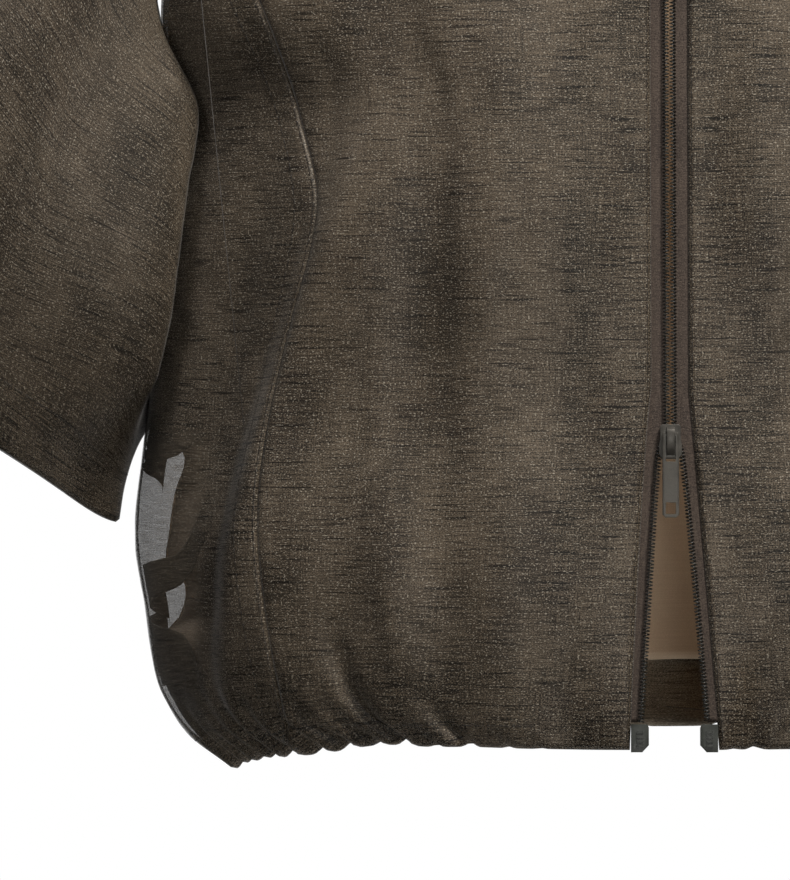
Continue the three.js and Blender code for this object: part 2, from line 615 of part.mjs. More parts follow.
/** Turns a three.js geometry into a solid that can be joined and cut. */
function solidOf(geometry) {
  const bare = geometry.index ? geometry.toNonIndexed() : geometry.clone();
  bare.deleteAttribute('normal');
  bare.deleteAttribute('uv');
  const merged = mergeVertices(bare, 1e-4);
  return new wasm.Manifold(new wasm.Mesh({
    numProp: 3,
    vertProperties: new Float32Array(merged.attributes.position.array),
    triVerts: new Uint32Array(merged.index.array),
  }));
}

function meshOfSolid(name, material, solid) {
  const result = solid.getMesh();
  return meshFrom(name, material, [...result.vertProperties], [...result.triVerts]);
}

/** Box from its two corners. */
function boxSolid(x0, x1, y0, y1, z0, z1) {
  const box = new THREE.BoxGeometry(x1 - x0, y1 - y0, z1 - z0);
  box.translate((x0 + x1) / 2, (y0 + y1) / 2, (z0 + z1) / 2);
  return solidOf(box);
}

/** Outline in x and z, given thickness between two depths. */
function plateSolid(points, depth0, depth1) {
  const shape = new THREE.Shape(points.map(([x, z]) => new THREE.Vector2(x, z)));
  const plate = new THREE.ExtrudeGeometry(shape, { depth: depth1 - depth0, bevelEnabled: false });
  plate.rotateX(RIGHT_ANGLE);
  plate.translate(0, depth1, 0);
  return solidOf(plate);
}

/** Mirror-image outline from the points of its right half, bottom to top. */
const bothSides = (half) => [...half, ...[...half].reverse().map(([x, z]) => [-x, z])];

const SLIDER_FRONT = -COIL_PROUD - SLIDER_CLEARANCE; // inner face of the front plate
const SLIDER_FACE = SLIDER_FRONT - SLIDER_PLATE;
const SLIDER_BACK = TAPE_DEPTH + TAPE_THICKNESS + SLIDER_CLEARANCE; // inner face of the back plate
const COIL_BACK = COIL_DEPTH + COIL_HALF_HEIGHT;

/**
 * Slider with its mouth, where the two coils part, at z = 0 and its throat at z = SLIDER_LENGTH.
 * The crown on its face is the arch that holds the pull.
 */
function sliderSolid() {
  const half = SLIDER_WIDTH / 2;
  const narrow = SLIDER_NARROW_WIDTH / 2;
  const outline = bothSides([
    [half - PLATE.corner, 0], [half, PLATE.cornerLength], [half, PLATE.shoulder], [narrow, PLATE.narrowed],
    [narrow, SLIDER_LENGTH - PLATE.throatCut], [narrow - PLATE.throatCut, SLIDER_LENGTH],
  ]);
  const railInner = COIL_PITCH_HALF + COIL_HALF_WIDTH + 2 * SLIDER_CLEARANCE;
  const railStart = SLIDER_LENGTH - RAIL_LENGTH;
  const railEnd = SLIDER_LENGTH - PLATE.throatCut;
  const postEnd = SLIDER_BACK + SUNK;
  let slider = plateSolid(outline, SLIDER_FACE, SLIDER_FRONT)
    .add(plateSolid(outline, SLIDER_BACK, SLIDER_BACK + SLIDER_PLATE))
    .add(plateSolid(bothSides(WEDGE), SLIDER_FRONT - SUNK, COIL_BACK))
    .add(boxSolid(-POST.half, POST.half, COIL_BACK - SUNK, postEnd, POST.low, POST.high));
  for (const sign of [-1, 1]) {
    const [x0, x1] = sign > 0 ? [railInner, narrow] : [-narrow, -railInner];
    slider = slider.add(boxSolid(x0, x1, SLIDER_FRONT - SUNK, COIL_BACK, railStart, railEnd));
  }
  return slider.add(crownSolid());
}

/** Arch over the slider's face, seen from the side as a rounded bridge. */
function crownSolid() {
  const start = CROWN_START;
  const end = start + CROWN_LENGTH;
  const under = -CROWN_HEIGHT + CROWN_WALL;
  const bridge = new THREE.Shape([
    [start, -CROWN_RISE.foot], [start + CROWN_RISE.length, -CROWN_HEIGHT + CROWN_RISE.ease],
    [end - CROWN_FALL.length, -CROWN_HEIGHT], [end - CROWN_FALL.inner, -CROWN_HEIGHT + CROWN_FALL.ease],
    [end, -CROWN_FALL.foot], [end, SUNK], [start, SUNK],
  ].map(([z, y]) => new THREE.Vector2(z, y)));
  const inner = [
    [start + CROWN_RISE.inner, 0], [end - CROWN_FALL.inner, 0],
    [end - CROWN_FALL.inner, under + CROWN_FALL.innerEase], [end - CROWN_FALL.innerLength, under],
    [start + CROWN_RISE.innerLength, under],
  ].map(([z, y]) => new THREE.Vector2(z, y));
  bridge.holes.push(new THREE.Path(inner));
  const arch = new THREE.ExtrudeGeometry(bridge, { depth: CROWN_WIDTH, bevelEnabled: false });
  arch.applyMatrix4(new THREE.Matrix4().makeBasis(vec(0, 0, 1), vec(0, 1, 0), vec(-1, 0, 0)));
  arch.translate(CROWN_WIDTH / 2, SLIDER_FACE, 0);
  return solidOf(arch);
}

/** Pull with its bar on the x axis at the origin, hanging down along -z. */
function pullSolid() {
  const half = PULL_WIDTH / 2;
  const top = PULL_BAR / 2;
  const bottom = top - PULL_LENGTH;
  const outline = bothSides([
    [half - PULL_CORNER, bottom], [half, bottom + PULL_CORNER], [half, top - PULL_EYE_LENGTH],
    [half, top - PULL_TOP_CORNER], [half - PULL_TOP_CORNER, top],
  ]);
  const thickness = PULL_THICKNESS / 2;
  const eye = CROWN_WIDTH / 2 + PULL_EYE_CLEARANCE;
  const through = PULL_THICKNESS;
  const slot = bottom + PULL_SLOT_RIM;
  return plateSolid(outline, -thickness, thickness)
    .subtract(boxSolid(-eye, eye, -through, through, top - PULL_EYE_LENGTH, -PULL_BAR / 2))
    .subtract(boxSolid(-PULL_SLOT_HALF_WIDTH, PULL_SLOT_HALF_WIDTH, -through, through, slot,
      slot + PULL_SLOT));
}

const BAR_DEPTH = SLIDER_FACE - (CROWN_HEIGHT - CROWN_WALL) / 2;

/** A slider and its pull. An upper slider is turned mouth up; both pulls hang down. */
function sliderParts(name, mouthZ, mouthUp) {
  const slider = meshOfSolid(`slider_${name}`, SLIDER_METAL, sliderSolid());
  slider.position.z = mouthZ;
  if (mouthUp) slider.rotation.y = Math.PI;
  const pull = meshOfSolid(`pull_${name}`, SLIDER_METAL, pullSolid());
  const crownTop = CROWN_START + CROWN_LENGTH - BAR_FROM_CROWN_END;
  pull.position.set(0, BAR_DEPTH, mouthUp ? mouthZ - crownTop : mouthZ + crownTop);
  return [slider, pull];
}

/** Moulded block that ends each side of the zip at the hem, ribbed across its face. */
function endBlock(side) {
  const { width, height, thickness, chamfer } = END_BLOCK;
  const inner = side.coilGap - END_BLOCK.lip;
  const shape = [
    [inner + END_BLOCK.chamferWidth, -END_BLOCK.drop], [inner + width, -END_BLOCK.drop],
    [inner + width, height - END_BLOCK.shoulder], [inner + END_BLOCK.rounding, height - END_BLOCK.shoulder],
    [inner, height - END_BLOCK.step], [inner, chamfer],
  ].map(([x, z]) => [side.sign * x, z]);
  const front = TAPE_DEPTH + TAPE_THICKNESS - thickness;
  const outline = side.sign > 0 ? shape : shape.reverse();
  let block = plateSolid(outline, front, front + thickness);
  const { count, inset, width: ribWidth, proud, sunk, share, clear } = BLOCK_RIBS;
  const ribPitch = (height - clear) / count;
  for (let i = 0; i < count; i += 1) {
    const z = END_BLOCK.drop + i * ribPitch;
    const x0 = inner + inset;
    const [low, high] = side.sign > 0 ? [x0, x0 + ribWidth] : [-x0 - ribWidth, -x0];
    block = block.add(boxSolid(low, high, front - proud, front + sunk, z, z + ribPitch * share));
  }
  return meshOfSolid(`zip_end_block_${side.name}`, BLOCK_PLASTIC, block);
}

function topStop(side) {
  const x = coilX(side, ZIP_TOP);
  const { inward, outward } = TOP_STOP_REACH;
  const [low, high] = side.sign > 0 ? [x - inward, x + outward] : [-x - outward, -x + inward];
  const stop = boxSolid(low, high, COIL_DEPTH - COIL_HALF_HEIGHT, TAPE_DEPTH - SLIDER_CLEARANCE,
    ZIP_TOP - TOP_STOP_HEIGHT + SLIDER_CLEARANCE, ZIP_TOP);
  return meshOfSolid(`top_stop_${side.name}`, SLIDER_METAL, stop);
}

// ---- The jacket ---------------------------------------------------------------------------

const jacket = new THREE.Group();
jacket.position.set(0, -NECK_BACK_DEPTH, -NECK_BACK_HEIGHT);

jacket.add(shellBack(), ...SIDES.map(shellFront), ...SIDES.map(shellSide), ...linings());
jacket.add(...SIDES.map(frontFacing), ...hemFacings(), hemElastic());
jacket.add(collarLayer('collar_outer', 0), collarLayer('collar_inner', FACING_DEPTH));
jacket.add(...SIDES.flatMap(sleeveParts));

const zip = new THREE.Group();
zip.position.set(0, -FRONT_DEPTH_AT_HEM, 0);
zip.rotation.x = -ZIP_TILT;
zip.add(...SIDES.map(zipTape), ...SIDES.map(zipCoil), ...SIDES.map(endBlock), ...SIDES.map(topStop));
zip.add(...sliderParts('lower', LOWER_SLIDER_Z, false), ...sliderParts('upper', UPPER_SLIDER_Z, true));
jacket.add(zip);

const model = new THREE.Group();
model.add(jacket);
export default model;
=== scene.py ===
"""Looks of a short-sleeved, see-through blouson jacket with a two-way zip and a gathered hem.

The garment's own frame has x = 0 on the zip line, y = 0 on the side line and heights from the front
hem, all in millimetres. `place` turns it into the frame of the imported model, in metres.
The wearer's right is -X. "Around" is the angle round the body from the front, positive to the left.
"""
import json
import logging
import math
from collections.abc import Callable
from dataclasses import dataclass, field
from enum import Enum

import bmesh
import bpy
import numpy as np
from mathutils import Matrix, Vector

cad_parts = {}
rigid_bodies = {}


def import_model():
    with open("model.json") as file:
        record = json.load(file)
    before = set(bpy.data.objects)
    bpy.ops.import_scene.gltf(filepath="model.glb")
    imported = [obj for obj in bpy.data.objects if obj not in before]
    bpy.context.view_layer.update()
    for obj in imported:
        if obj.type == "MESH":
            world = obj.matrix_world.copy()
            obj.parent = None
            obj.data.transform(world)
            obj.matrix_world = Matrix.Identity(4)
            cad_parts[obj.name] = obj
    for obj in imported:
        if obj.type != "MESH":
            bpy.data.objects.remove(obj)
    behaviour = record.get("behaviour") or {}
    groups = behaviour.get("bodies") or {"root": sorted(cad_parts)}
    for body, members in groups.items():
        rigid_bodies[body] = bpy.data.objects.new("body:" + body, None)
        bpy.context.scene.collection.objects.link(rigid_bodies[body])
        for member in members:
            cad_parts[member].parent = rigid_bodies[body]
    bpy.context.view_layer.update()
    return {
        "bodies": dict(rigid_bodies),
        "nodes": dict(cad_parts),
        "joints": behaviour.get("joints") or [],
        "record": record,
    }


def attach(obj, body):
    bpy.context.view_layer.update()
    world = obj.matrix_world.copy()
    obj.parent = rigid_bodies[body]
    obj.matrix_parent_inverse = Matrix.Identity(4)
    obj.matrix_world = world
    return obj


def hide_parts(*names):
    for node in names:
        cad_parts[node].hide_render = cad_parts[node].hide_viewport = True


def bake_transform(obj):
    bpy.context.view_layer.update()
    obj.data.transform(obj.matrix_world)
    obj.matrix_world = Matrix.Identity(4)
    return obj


LOG = logging.getLogger("jacket")
Array = np.ndarray
MM = 0.001
SEED = 7
ORIGIN = np.array([0.0, -62.0, -545.0])  # the garment frame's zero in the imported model's frame, mm
GARMENT = "garment"
GIRTH_HALF_WIDTH, GIRTH_HALF_DEPTH = 230.0, 114.0  # mm, of the ring that distances round the body follow


# ---- Numbers and places --------------------------------------------------------------------


def place(points: Array) -> Array:
    """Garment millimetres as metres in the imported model's frame."""
    return (points + ORIGIN) * MM


def smooth(low: float, high: float, value: Array) -> Array:
    """Smooth step from 0 at low to 1 at high."""
    t = np.clip((value - low) / (high - low), 0.0, 1.0)
    return t * t * (3 - 2 * t)


def unit(vectors: Array) -> Array:
    """Vectors of length one."""
    return vectors / np.maximum(np.linalg.norm(vectors, axis=-1, keepdims=True), 1e-12)


def vec3(x: Array, y: Array, z: Array) -> Array:
    """Three coordinate arrays as one array of points."""
    return np.stack(np.broadcast_arrays(x, y, z), axis=-1)


@dataclass(frozen=True)
class Curve:
    """A smooth line through a few (place, value) pairs."""

    pairs: tuple[tuple[float, float], ...]

    def at(self, where: Array) -> Array:
        """The value at each place, held level beyond the ends."""
        p, v = np.array(self.pairs, float).T
        last = len(p) - 1
        k = np.arange(last + 1)
        after, before = np.minimum(k + 1, last), np.maximum(k - 1, 0)
        slope = (v[after] - v[before]) / (p[after] - p[before])
        x = np.clip(where, p[0], p[-1])
        i = np.clip(np.searchsorted(p, x, side="right") - 1, 0, last - 1)
        span = p[i + 1] - p[i]
        t = (x - p[i]) / span
        t2, t3 = t * t, t * t * t
        return ((2 * t3 - 3 * t2 + 1) * v[i] + (t3 - 2 * t2 + t) * span * slope[i]
                + (3 * t2 - 2 * t3) * v[i + 1] + (t3 - t2) * span * slope[i + 1])


def rounded_outline(around: Array, a: Array, b: Array, roundness: float) -> tuple[Array, Array]:
    """Point on a rounded box outline, at an angle from the front.

    Args:
        around: angle from the front, in radians.
        a: half width.
        b: half depth.
        roundness: 2 is an ellipse, more is boxier.

    Returns:
        The point's x and y.
    """
    turn = np.arctan2(a * np.sin(around), b * np.cos(around))
    s, c = np.abs(np.sin(turn)) / a, np.abs(np.cos(turn)) / b
    r = (s**roundness + c**roundness) ** (-1 / roundness)
    return r * np.sin(turn), -r * np.cos(turn)


# ---- The form that the cloth follows -------------------------------------------------------


@dataclass(frozen=True)
class Crease:
    """A valley that the hem's elastic draws into the cloth, running up from the hem."""

    girth: float
    top: float
    depth: float
    width: float
    lean: float = 0.0

    def at(self, girth: Array, level: Array) -> Array:
        """How far in the cloth lies because of this crease."""
        up = np.clip(level / self.top, 0, 1)
        centre = self.girth + self.lean * level
        wide = self.width * (1 + 1.8 * up)
        return -1.35 * self.depth * (1 - up) ** 1.3 * np.exp(-(((girth - centre) / wide) ** 2))


@dataclass(frozen=True)
class Fold:
    """A long soft fold: a crest along a line, and a hollow on its outer side."""

    line: Curve  # girth of the crest, by level
    height: Curve  # of the crest, by level
    hollow: Curve  # depth of the hollow beyond it, by level
    inner: float  # width of the crest on the zip's side
    drop: float  # distance over which the cloth falls into the hollow
    reach: float  # distance from the crest to where the hollow has filled again

    def at(self, girth: Array, level: Array) -> Array:
        """How far out the cloth lies because of this fold."""
        d = girth - self.line.at(level)
        wide = np.where(d < 0, self.inner, self.drop)
        crest = self.height.at(level) * np.exp(-((d / wide) ** 2))
        filled = smooth(0.35 * self.reach, self.reach, d)
        hollow = self.hollow.at(level) * smooth(0, self.drop, d) * (1 - filled)
        return crest - hollow


@dataclass(frozen=True)
class Ripples:
    """Soft uneven waves over a surface, from a few sine waves with seeded directions."""

    seed: int
    height: float
    shortest: float
    longest: float
    upright: float = 0.5  # 1 makes all waves run straight up, 0 lets them take any direction
    count: int = 9

    def at(self, across: Array, up: Array) -> Array:
        """Height of the waves at a place given in millimetres across and up."""
        draw = np.random.default_rng(self.seed)
        total = np.zeros(np.broadcast(across, up).shape)
        for _ in range(self.count):
            length = self.shortest * (self.longest / self.shortest) ** draw.random()
            turn = (1 - self.upright) * (draw.random() - 0.5) * math.pi
            k = 2 * math.pi / length
            phase = draw.random() * 2 * math.pi
            total = total + np.sin(k * (across * math.cos(turn) + up * math.sin(turn)) + phase) * length
        return total * self.height / (self.count**0.5 * 0.7 * (self.shortest + self.longest) / 2)


RIGHT_FRONT_FOLDS = (
    Fold(Curve(((0, 205), (20, 201), (55, 193), (91, 185), (142, 175), (191, 160), (266, 139), (330, 128))),
         Curve(((0, 0.5), (30, 2), (100, 3.5), (200, 3), (300, 1.5), (350, 0))),
         Curve(((0, 2), (25, 7), (60, 12), (110, 13), (200, 9), (280, 5), (345, 0))), 30, 24, 120),
    Fold(Curve(((100, 84), (200, 91), (295, 96), (400, 92))),
         Curve(((60, 0), (110, 1.2), (200, 2.0), (330, 1.8), (430, 0))),
         Curve(((60, 0), (110, 1.0), (200, 1.8), (330, 1.6), (430, 0))), 22, 12, 60),
    Fold(Curve(((40, 118), (120, 124), (200, 128))),
         Curve(((15, 0), (50, 1.6), (110, 1.3), (190, 0))),
         Curve(((15, 0), (50, 1.2), (110, 1.0), (190, 0))), 14, 10, 40),
)
LEFT_FRONT_FOLDS = (
    Fold(Curve(((0, 196), (60, 182), (150, 168), (260, 146), (330, 133))),
         Curve(((0, 0.5), (40, 2), (120, 3.2), (220, 2.4), (340, 0))),
         Curve(((0, 2), (40, 8), (110, 10), (220, 7), (340, 0))), 28, 26, 110),
    Fold(Curve(((60, 58), (150, 66), (260, 74), (400, 78))),
         Curve(((20, 0), (80, 1.3), (180, 1.6), (320, 1.2), (420, 0))),
         Curve(((20, 0), (80, 1.2), (180, 1.4), (320, 1.0), (420, 0))), 18, 12, 55),
)
BACK_FOLDS = tuple(
    Fold(Curve(((0, g), (150, g + lean), (400, g + 2 * lean))),
         Curve(((0, 0.3), (60, 1.6 * size), (220, 2.4 * size), (430, 0))),
         Curve(((0, 0.3), (60, 1.6 * size), (220, 2.2 * size), (430, 0))), 16, 13, 48)
    for g, lean, size in ((372, 8, 1.0), (425, 14, 1.5), (486, -10, 1.1)))
RIGHT_FRONT_CREASES = (
    Crease(141, 72, 4.2, 3.2, 0.11), Crease(106, 34, 2.6, 2.8, 0.16), Crease(85, 9, 1.1, 2.2),
    Crease(172, 40, 3.2, 3.0, 0.12), Crease(187, 60, 3.0, 3.4, -0.05), Crease(124, 18, 1.2, 2.4),
    Crease(156, 22, 1.6, 2.4, 0.1), Crease(68, 7, 0.8, 2.0), Crease(206, 55, 4.0, 3.6, -0.2),
)
LEFT_FRONT_CREASES = (
    Crease(44, 60, 2.8, 3.4, -0.23), Crease(33, 48, 1.8, 3.0, 0.1), Crease(70, 30, 2.0, 2.6, 0.1),
    Crease(96, 44, 2.8, 3.0, -0.08), Crease(121, 26, 1.8, 2.6), Crease(148, 62, 3.4, 3.2, 0.06),
    Crease(174, 36, 2.6, 3.0), Crease(196, 52, 3.4, 3.4, -0.1),
)


def seeded_creases(seed: int, start: float, end: float) -> tuple[Crease, ...]:
    """Creases at uneven spacing along a stretch of the hem."""
    draw = np.random.default_rng(seed)
    found, girth = [], start
    while girth < end:
        found.append(Crease(girth, 14 + 62 * draw.random() ** 2, 1.3 + 2.2 * draw.random(),
                            2.2 + 1.4 * draw.random(), 0.3 * (draw.random() - 0.5)))
        girth += 9 + 9 * draw.random()
    return tuple(found)


@dataclass(frozen=True)
class BodyForm:
    """The jacket's body: straight up to the shoulder tip, then curving in to the neck seam."""

    underarm: float = 285.0
    shoulder: float = 470.0
    yoke_rise: float = 100.0
    half_widths: Curve = Curve((
        (0, 191), (12, 212), (30, 226), (60, 232), (88, 235), (110, 233.5), (150, 228), (191, 222),
        (234, 216.5), (270, 212.5), (285, 216), (320, 240), (360, 252), (400, 256), (440, 255), (470, 250)))
    back_depths: Curve = Curve(((0, 88), (30, 102), (90, 112), (200, 116), (330, 118), (420, 108), (470, 98)))
    roundness: float = 2.3
    hem_droop: float = 17.0
    droop_fade: float = 60.0
    neck_half_width: float = 80.0
    neck_back_depth: float = 62.0
    neck_roundness: float = 2.8
    neck_front: float = 495.0
    neck_side: float = 538.0
    neck_back: float = 545.0
    rounding: float = 35.0
    front_spread: float = math.radians(34)
    back_spread: float = math.radians(32)
    seam_line: Curve = Curve((
        (0, 165), (60, 173), (110, 175.5), (170, 167), (230, 152), (274, 161), (316, 175), (375, 199),
        (413, 212)))
    seam_top: float = 412.9

    @property
    def top(self) -> float:
        """Level of the neck seam."""
        return self.shoulder + self.yoke_rise

    def front_depth(self, level: Array) -> Array:
        """Depth of the front line ahead of the side line."""
        return 122.0 - 0.07 * level

    def ring(self, around: Array, level: Array) -> Array:
        """A point below the shoulder tip."""
        b = np.where(np.cos(around) > 0, self.front_depth(level), self.back_depths.at(level))
        x, y = rounded_outline(around, self.half_widths.at(level), b, self.roundness)
        fade = np.clip(1 - level / self.droop_fade, 0, 1)
        return vec3(x, y, level - self.hem_droop * np.sin(around) ** 4 * fade)

    def neck(self, around: Array) -> Array:
        """A point of the neck seam."""
        front = np.cos(around) > 0
        middle = np.where(front, self.neck_front, self.neck_back)
        z = self.neck_side + np.cos(around) ** 2 * (middle - self.neck_side)
        b = np.where(front, self.front_depth(self.neck_front), self.neck_back_depth)
        x, y = rounded_outline(around, self.neck_half_width, b, self.neck_roundness)
        return vec3(x, y, z)

    def point(self, around: Array, level: Array) -> Array:
        """Any point of the body's outer surface."""
        around, level = np.broadcast_arrays(np.asarray(around, float), np.asarray(level, float))
        low = self.ring(around, np.minimum(level, self.shoulder))
        w = np.clip((level - self.shoulder) / self.yoke_rise, 0, None)[..., None]
        neck = self.neck(around)
        rising = low - self.ring(around, np.full_like(level, self.shoulder - 1))
        bend = low + rising * np.minimum(self.rounding, (neck[..., 2:] - low[..., 2:]) / 2)
        return np.where(w > 0, low * (1 - w) ** 2 + bend * 2 * w * (1 - w) + neck * w * w, low)

    def normal(self, around: Array, level: Array) -> Array:
        """Outward direction of the surface."""
        across = self.point(around + 0.004, level) - self.point(around - 0.004, level)
        low, high = np.clip(level - 1.0, 0, self.top), np.clip(level + 1.0, 0, self.top)
        return unit(np.cross(across, self.point(around, high) - self.point(around, low)))

    def angle_at(self, x: Array, level: Array) -> Array:
        """The angle at which the front surface is that far from the zip line."""
        x, level = np.broadcast_arrays(np.asarray(x, float), np.asarray(level, float))
        low, high = np.zeros(x.shape), np.full(x.shape, math.pi / 2)
        for _ in range(34):
            middle = (low + high) / 2
            short = self.point(middle, level)[..., 0] < x
            low, high = np.where(short, middle, low), np.where(short, high, middle)
        return (low + high) / 2

    def spread(self, level: Array, widest: float) -> Array:
        """How far the armhole opens from the side line at a level."""
        middle, half = (self.underarm + self.shoulder) / 2, (self.shoulder - self.underarm) / 2
        share = np.clip((level - middle) / half, -1, 1)
        return widest * np.sqrt(1 - share * share)

    def gap(self, width: float, level: Array) -> Array:
        """Angle that a width takes up at the side line."""
        return width / self.front_depth(np.minimum(level, self.shoulder))

    def front_edge(self, level: Array, gap: float = 0.2) -> Array:
        """Front edge of the armhole, and the side seam below it."""
        return math.pi / 2 - self.spread(level, self.front_spread) - self.gap(gap / 2, level)

    def back_edge(self, level: Array, gap: float = 0.2) -> Array:
        """Back edge of the armhole, and the side seam below it."""
        return math.pi / 2 + self.spread(level, self.back_spread) + self.gap(gap / 2, level)

    def panel_seam(self, level: Array) -> Array:
        """The seam between front and side panel."""
        limit = self.front_edge(level, 0.5) - self.gap(3.0, level)
        return np.minimum(self.angle_at(self.seam_line.at(level), level), limit)

    def zip_edge(self, side: "Side", level: Array) -> Array:
        """Distance of the cloth's folded edge from the zip line."""
        opened = np.clip(1 - level / (124.5 + 29), 0, 1)
        return 8.0 + side.edge_gap * opened**side.edge_power


class Side(Enum):
    """The wearer's right and left, with how far the zip stands open at the hem on that side."""

    RIGHT = ("right", -1, 12.0, 9.7, 0.75)
    LEFT = ("left", 1, 15.0, 13.0, 0.95)

    def __init__(self, word: str, sign: int, coil_gap: float, edge_gap: float, edge_power: float) -> None:
        """Keeps the facts of a side."""
        self.word, self.sign = word, sign
        self.coil_gap, self.edge_gap, self.edge_power = coil_gap, edge_gap, edge_power


BODY = BodyForm()


def girth_table() -> tuple[Array, Array, Array]:
    """Angle, distance along the cloth and x round a middle ring of the body."""
    around = np.linspace(0, math.pi, 721)
    x, y = rounded_outline(around, GIRTH_HALF_WIDTH, GIRTH_HALF_DEPTH, BODY.roundness)
    steps = np.hypot(np.diff(x), np.diff(y))
    return around, np.concatenate([[0.0], np.cumsum(steps)]), x


GIRTH_ANGLES, GIRTHS, _ = girth_table()


@dataclass(frozen=True)
class Drape:
    """How the cloth hangs off the form: long folds, gathers at the elastic, and small ripples."""

    right: tuple[Fold, ...] = RIGHT_FRONT_FOLDS + BACK_FOLDS
    left: tuple[Fold, ...] = LEFT_FRONT_FOLDS + BACK_FOLDS
    right_creases: tuple[Crease, ...] = RIGHT_FRONT_CREASES + seeded_creases(SEED, 219, 540)
    left_creases: tuple[Crease, ...] = LEFT_FRONT_CREASES + seeded_creases(SEED + 1, 212, 540)
    belly: Curve = Curve(((0, -6), (20, -3), (50, 1), (80, 2.5), (110, 1), (140, -1.5), (165, -1), (190, 2),
                          (215, 4.5), (245, 5), (290, 3), (340, 0)))  # how the blouson swells, by level
    soft: Ripples = Ripples(11, 0.9, 45, 130, 0.8)
    small: Ripples = Ripples(12, 0.09, 9, 26, 0.3, 12)

    def girth(self, around: Array) -> Array:
        """Distance from the zip line round the body, always positive."""
        turn = np.abs((around + math.pi) % (2 * math.pi) - math.pi)
        return np.interp(turn, GIRTH_ANGLES, GIRTHS)

    def out(self, around: Array, level: Array) -> Array:
        """How far out from the form the cloth lies, in millimetres."""
        girth = self.girth(around)
        signed = np.where(np.sin(around) < 0, -girth, girth)
        total = self.soft.at(signed, level) + self.small.at(signed, level)
        total = total + self.belly.at(level) * (1 - 0.7 * smooth(150, 215, girth))
        for sign, folds, creases in ((-1, self.right, self.right_creases), (1, self.left, self.left_creases)):
            here = np.where(np.sin(around) * sign >= 0, 1.0, 0.0)
            for item in (*folds, *creases):
                total = total + here * item.at(girth, level)
        total = total * smooth(13, 50, girth) * (1 - smooth(520, 560, level))
        middle, half = (BODY.underarm + BODY.shoulder) / 2, (BODY.shoulder - BODY.underarm) / 2
        turn = np.abs((around + math.pi) % (2 * math.pi) - math.pi) - math.pi / 2
        spread = np.where(turn < 0, BODY.front_spread, BODY.back_spread)
        nearness = np.hypot(turn / spread, (level - middle) / half)
        return total * smooth(1.0, 1.45, nearness)

    def hem_lift(self, around: Array, level: Array) -> Array:
        """How much the gathers shorten the cloth just above the hem."""
        girth = self.girth(around)
        total = np.zeros(np.broadcast(girth, level).shape)
        for sign, creases in ((-1, self.right_creases), (1, self.left_creases)):
            here = np.where(np.sin(around) * sign >= 0, 1.0, 0.0)
            for crease in creases:
                total = total - 0.42 * here * crease.at(girth, level)
        return total * (1 - smooth(0, 14, level)) * smooth(13, 50, girth)


DRAPE = Drape()


def body_cloth(around: Array, level: Array, depth: Array | float) -> Array:
    """A point of a cloth layer at a depth under the draped outer surface."""
    out = DRAPE.out(around, level) - depth
    points = BODY.point(around, level) + BODY.normal(around, level) * np.asarray(out)[..., None]
    points[..., 2] += DRAPE.hem_lift(around, level)
    return points


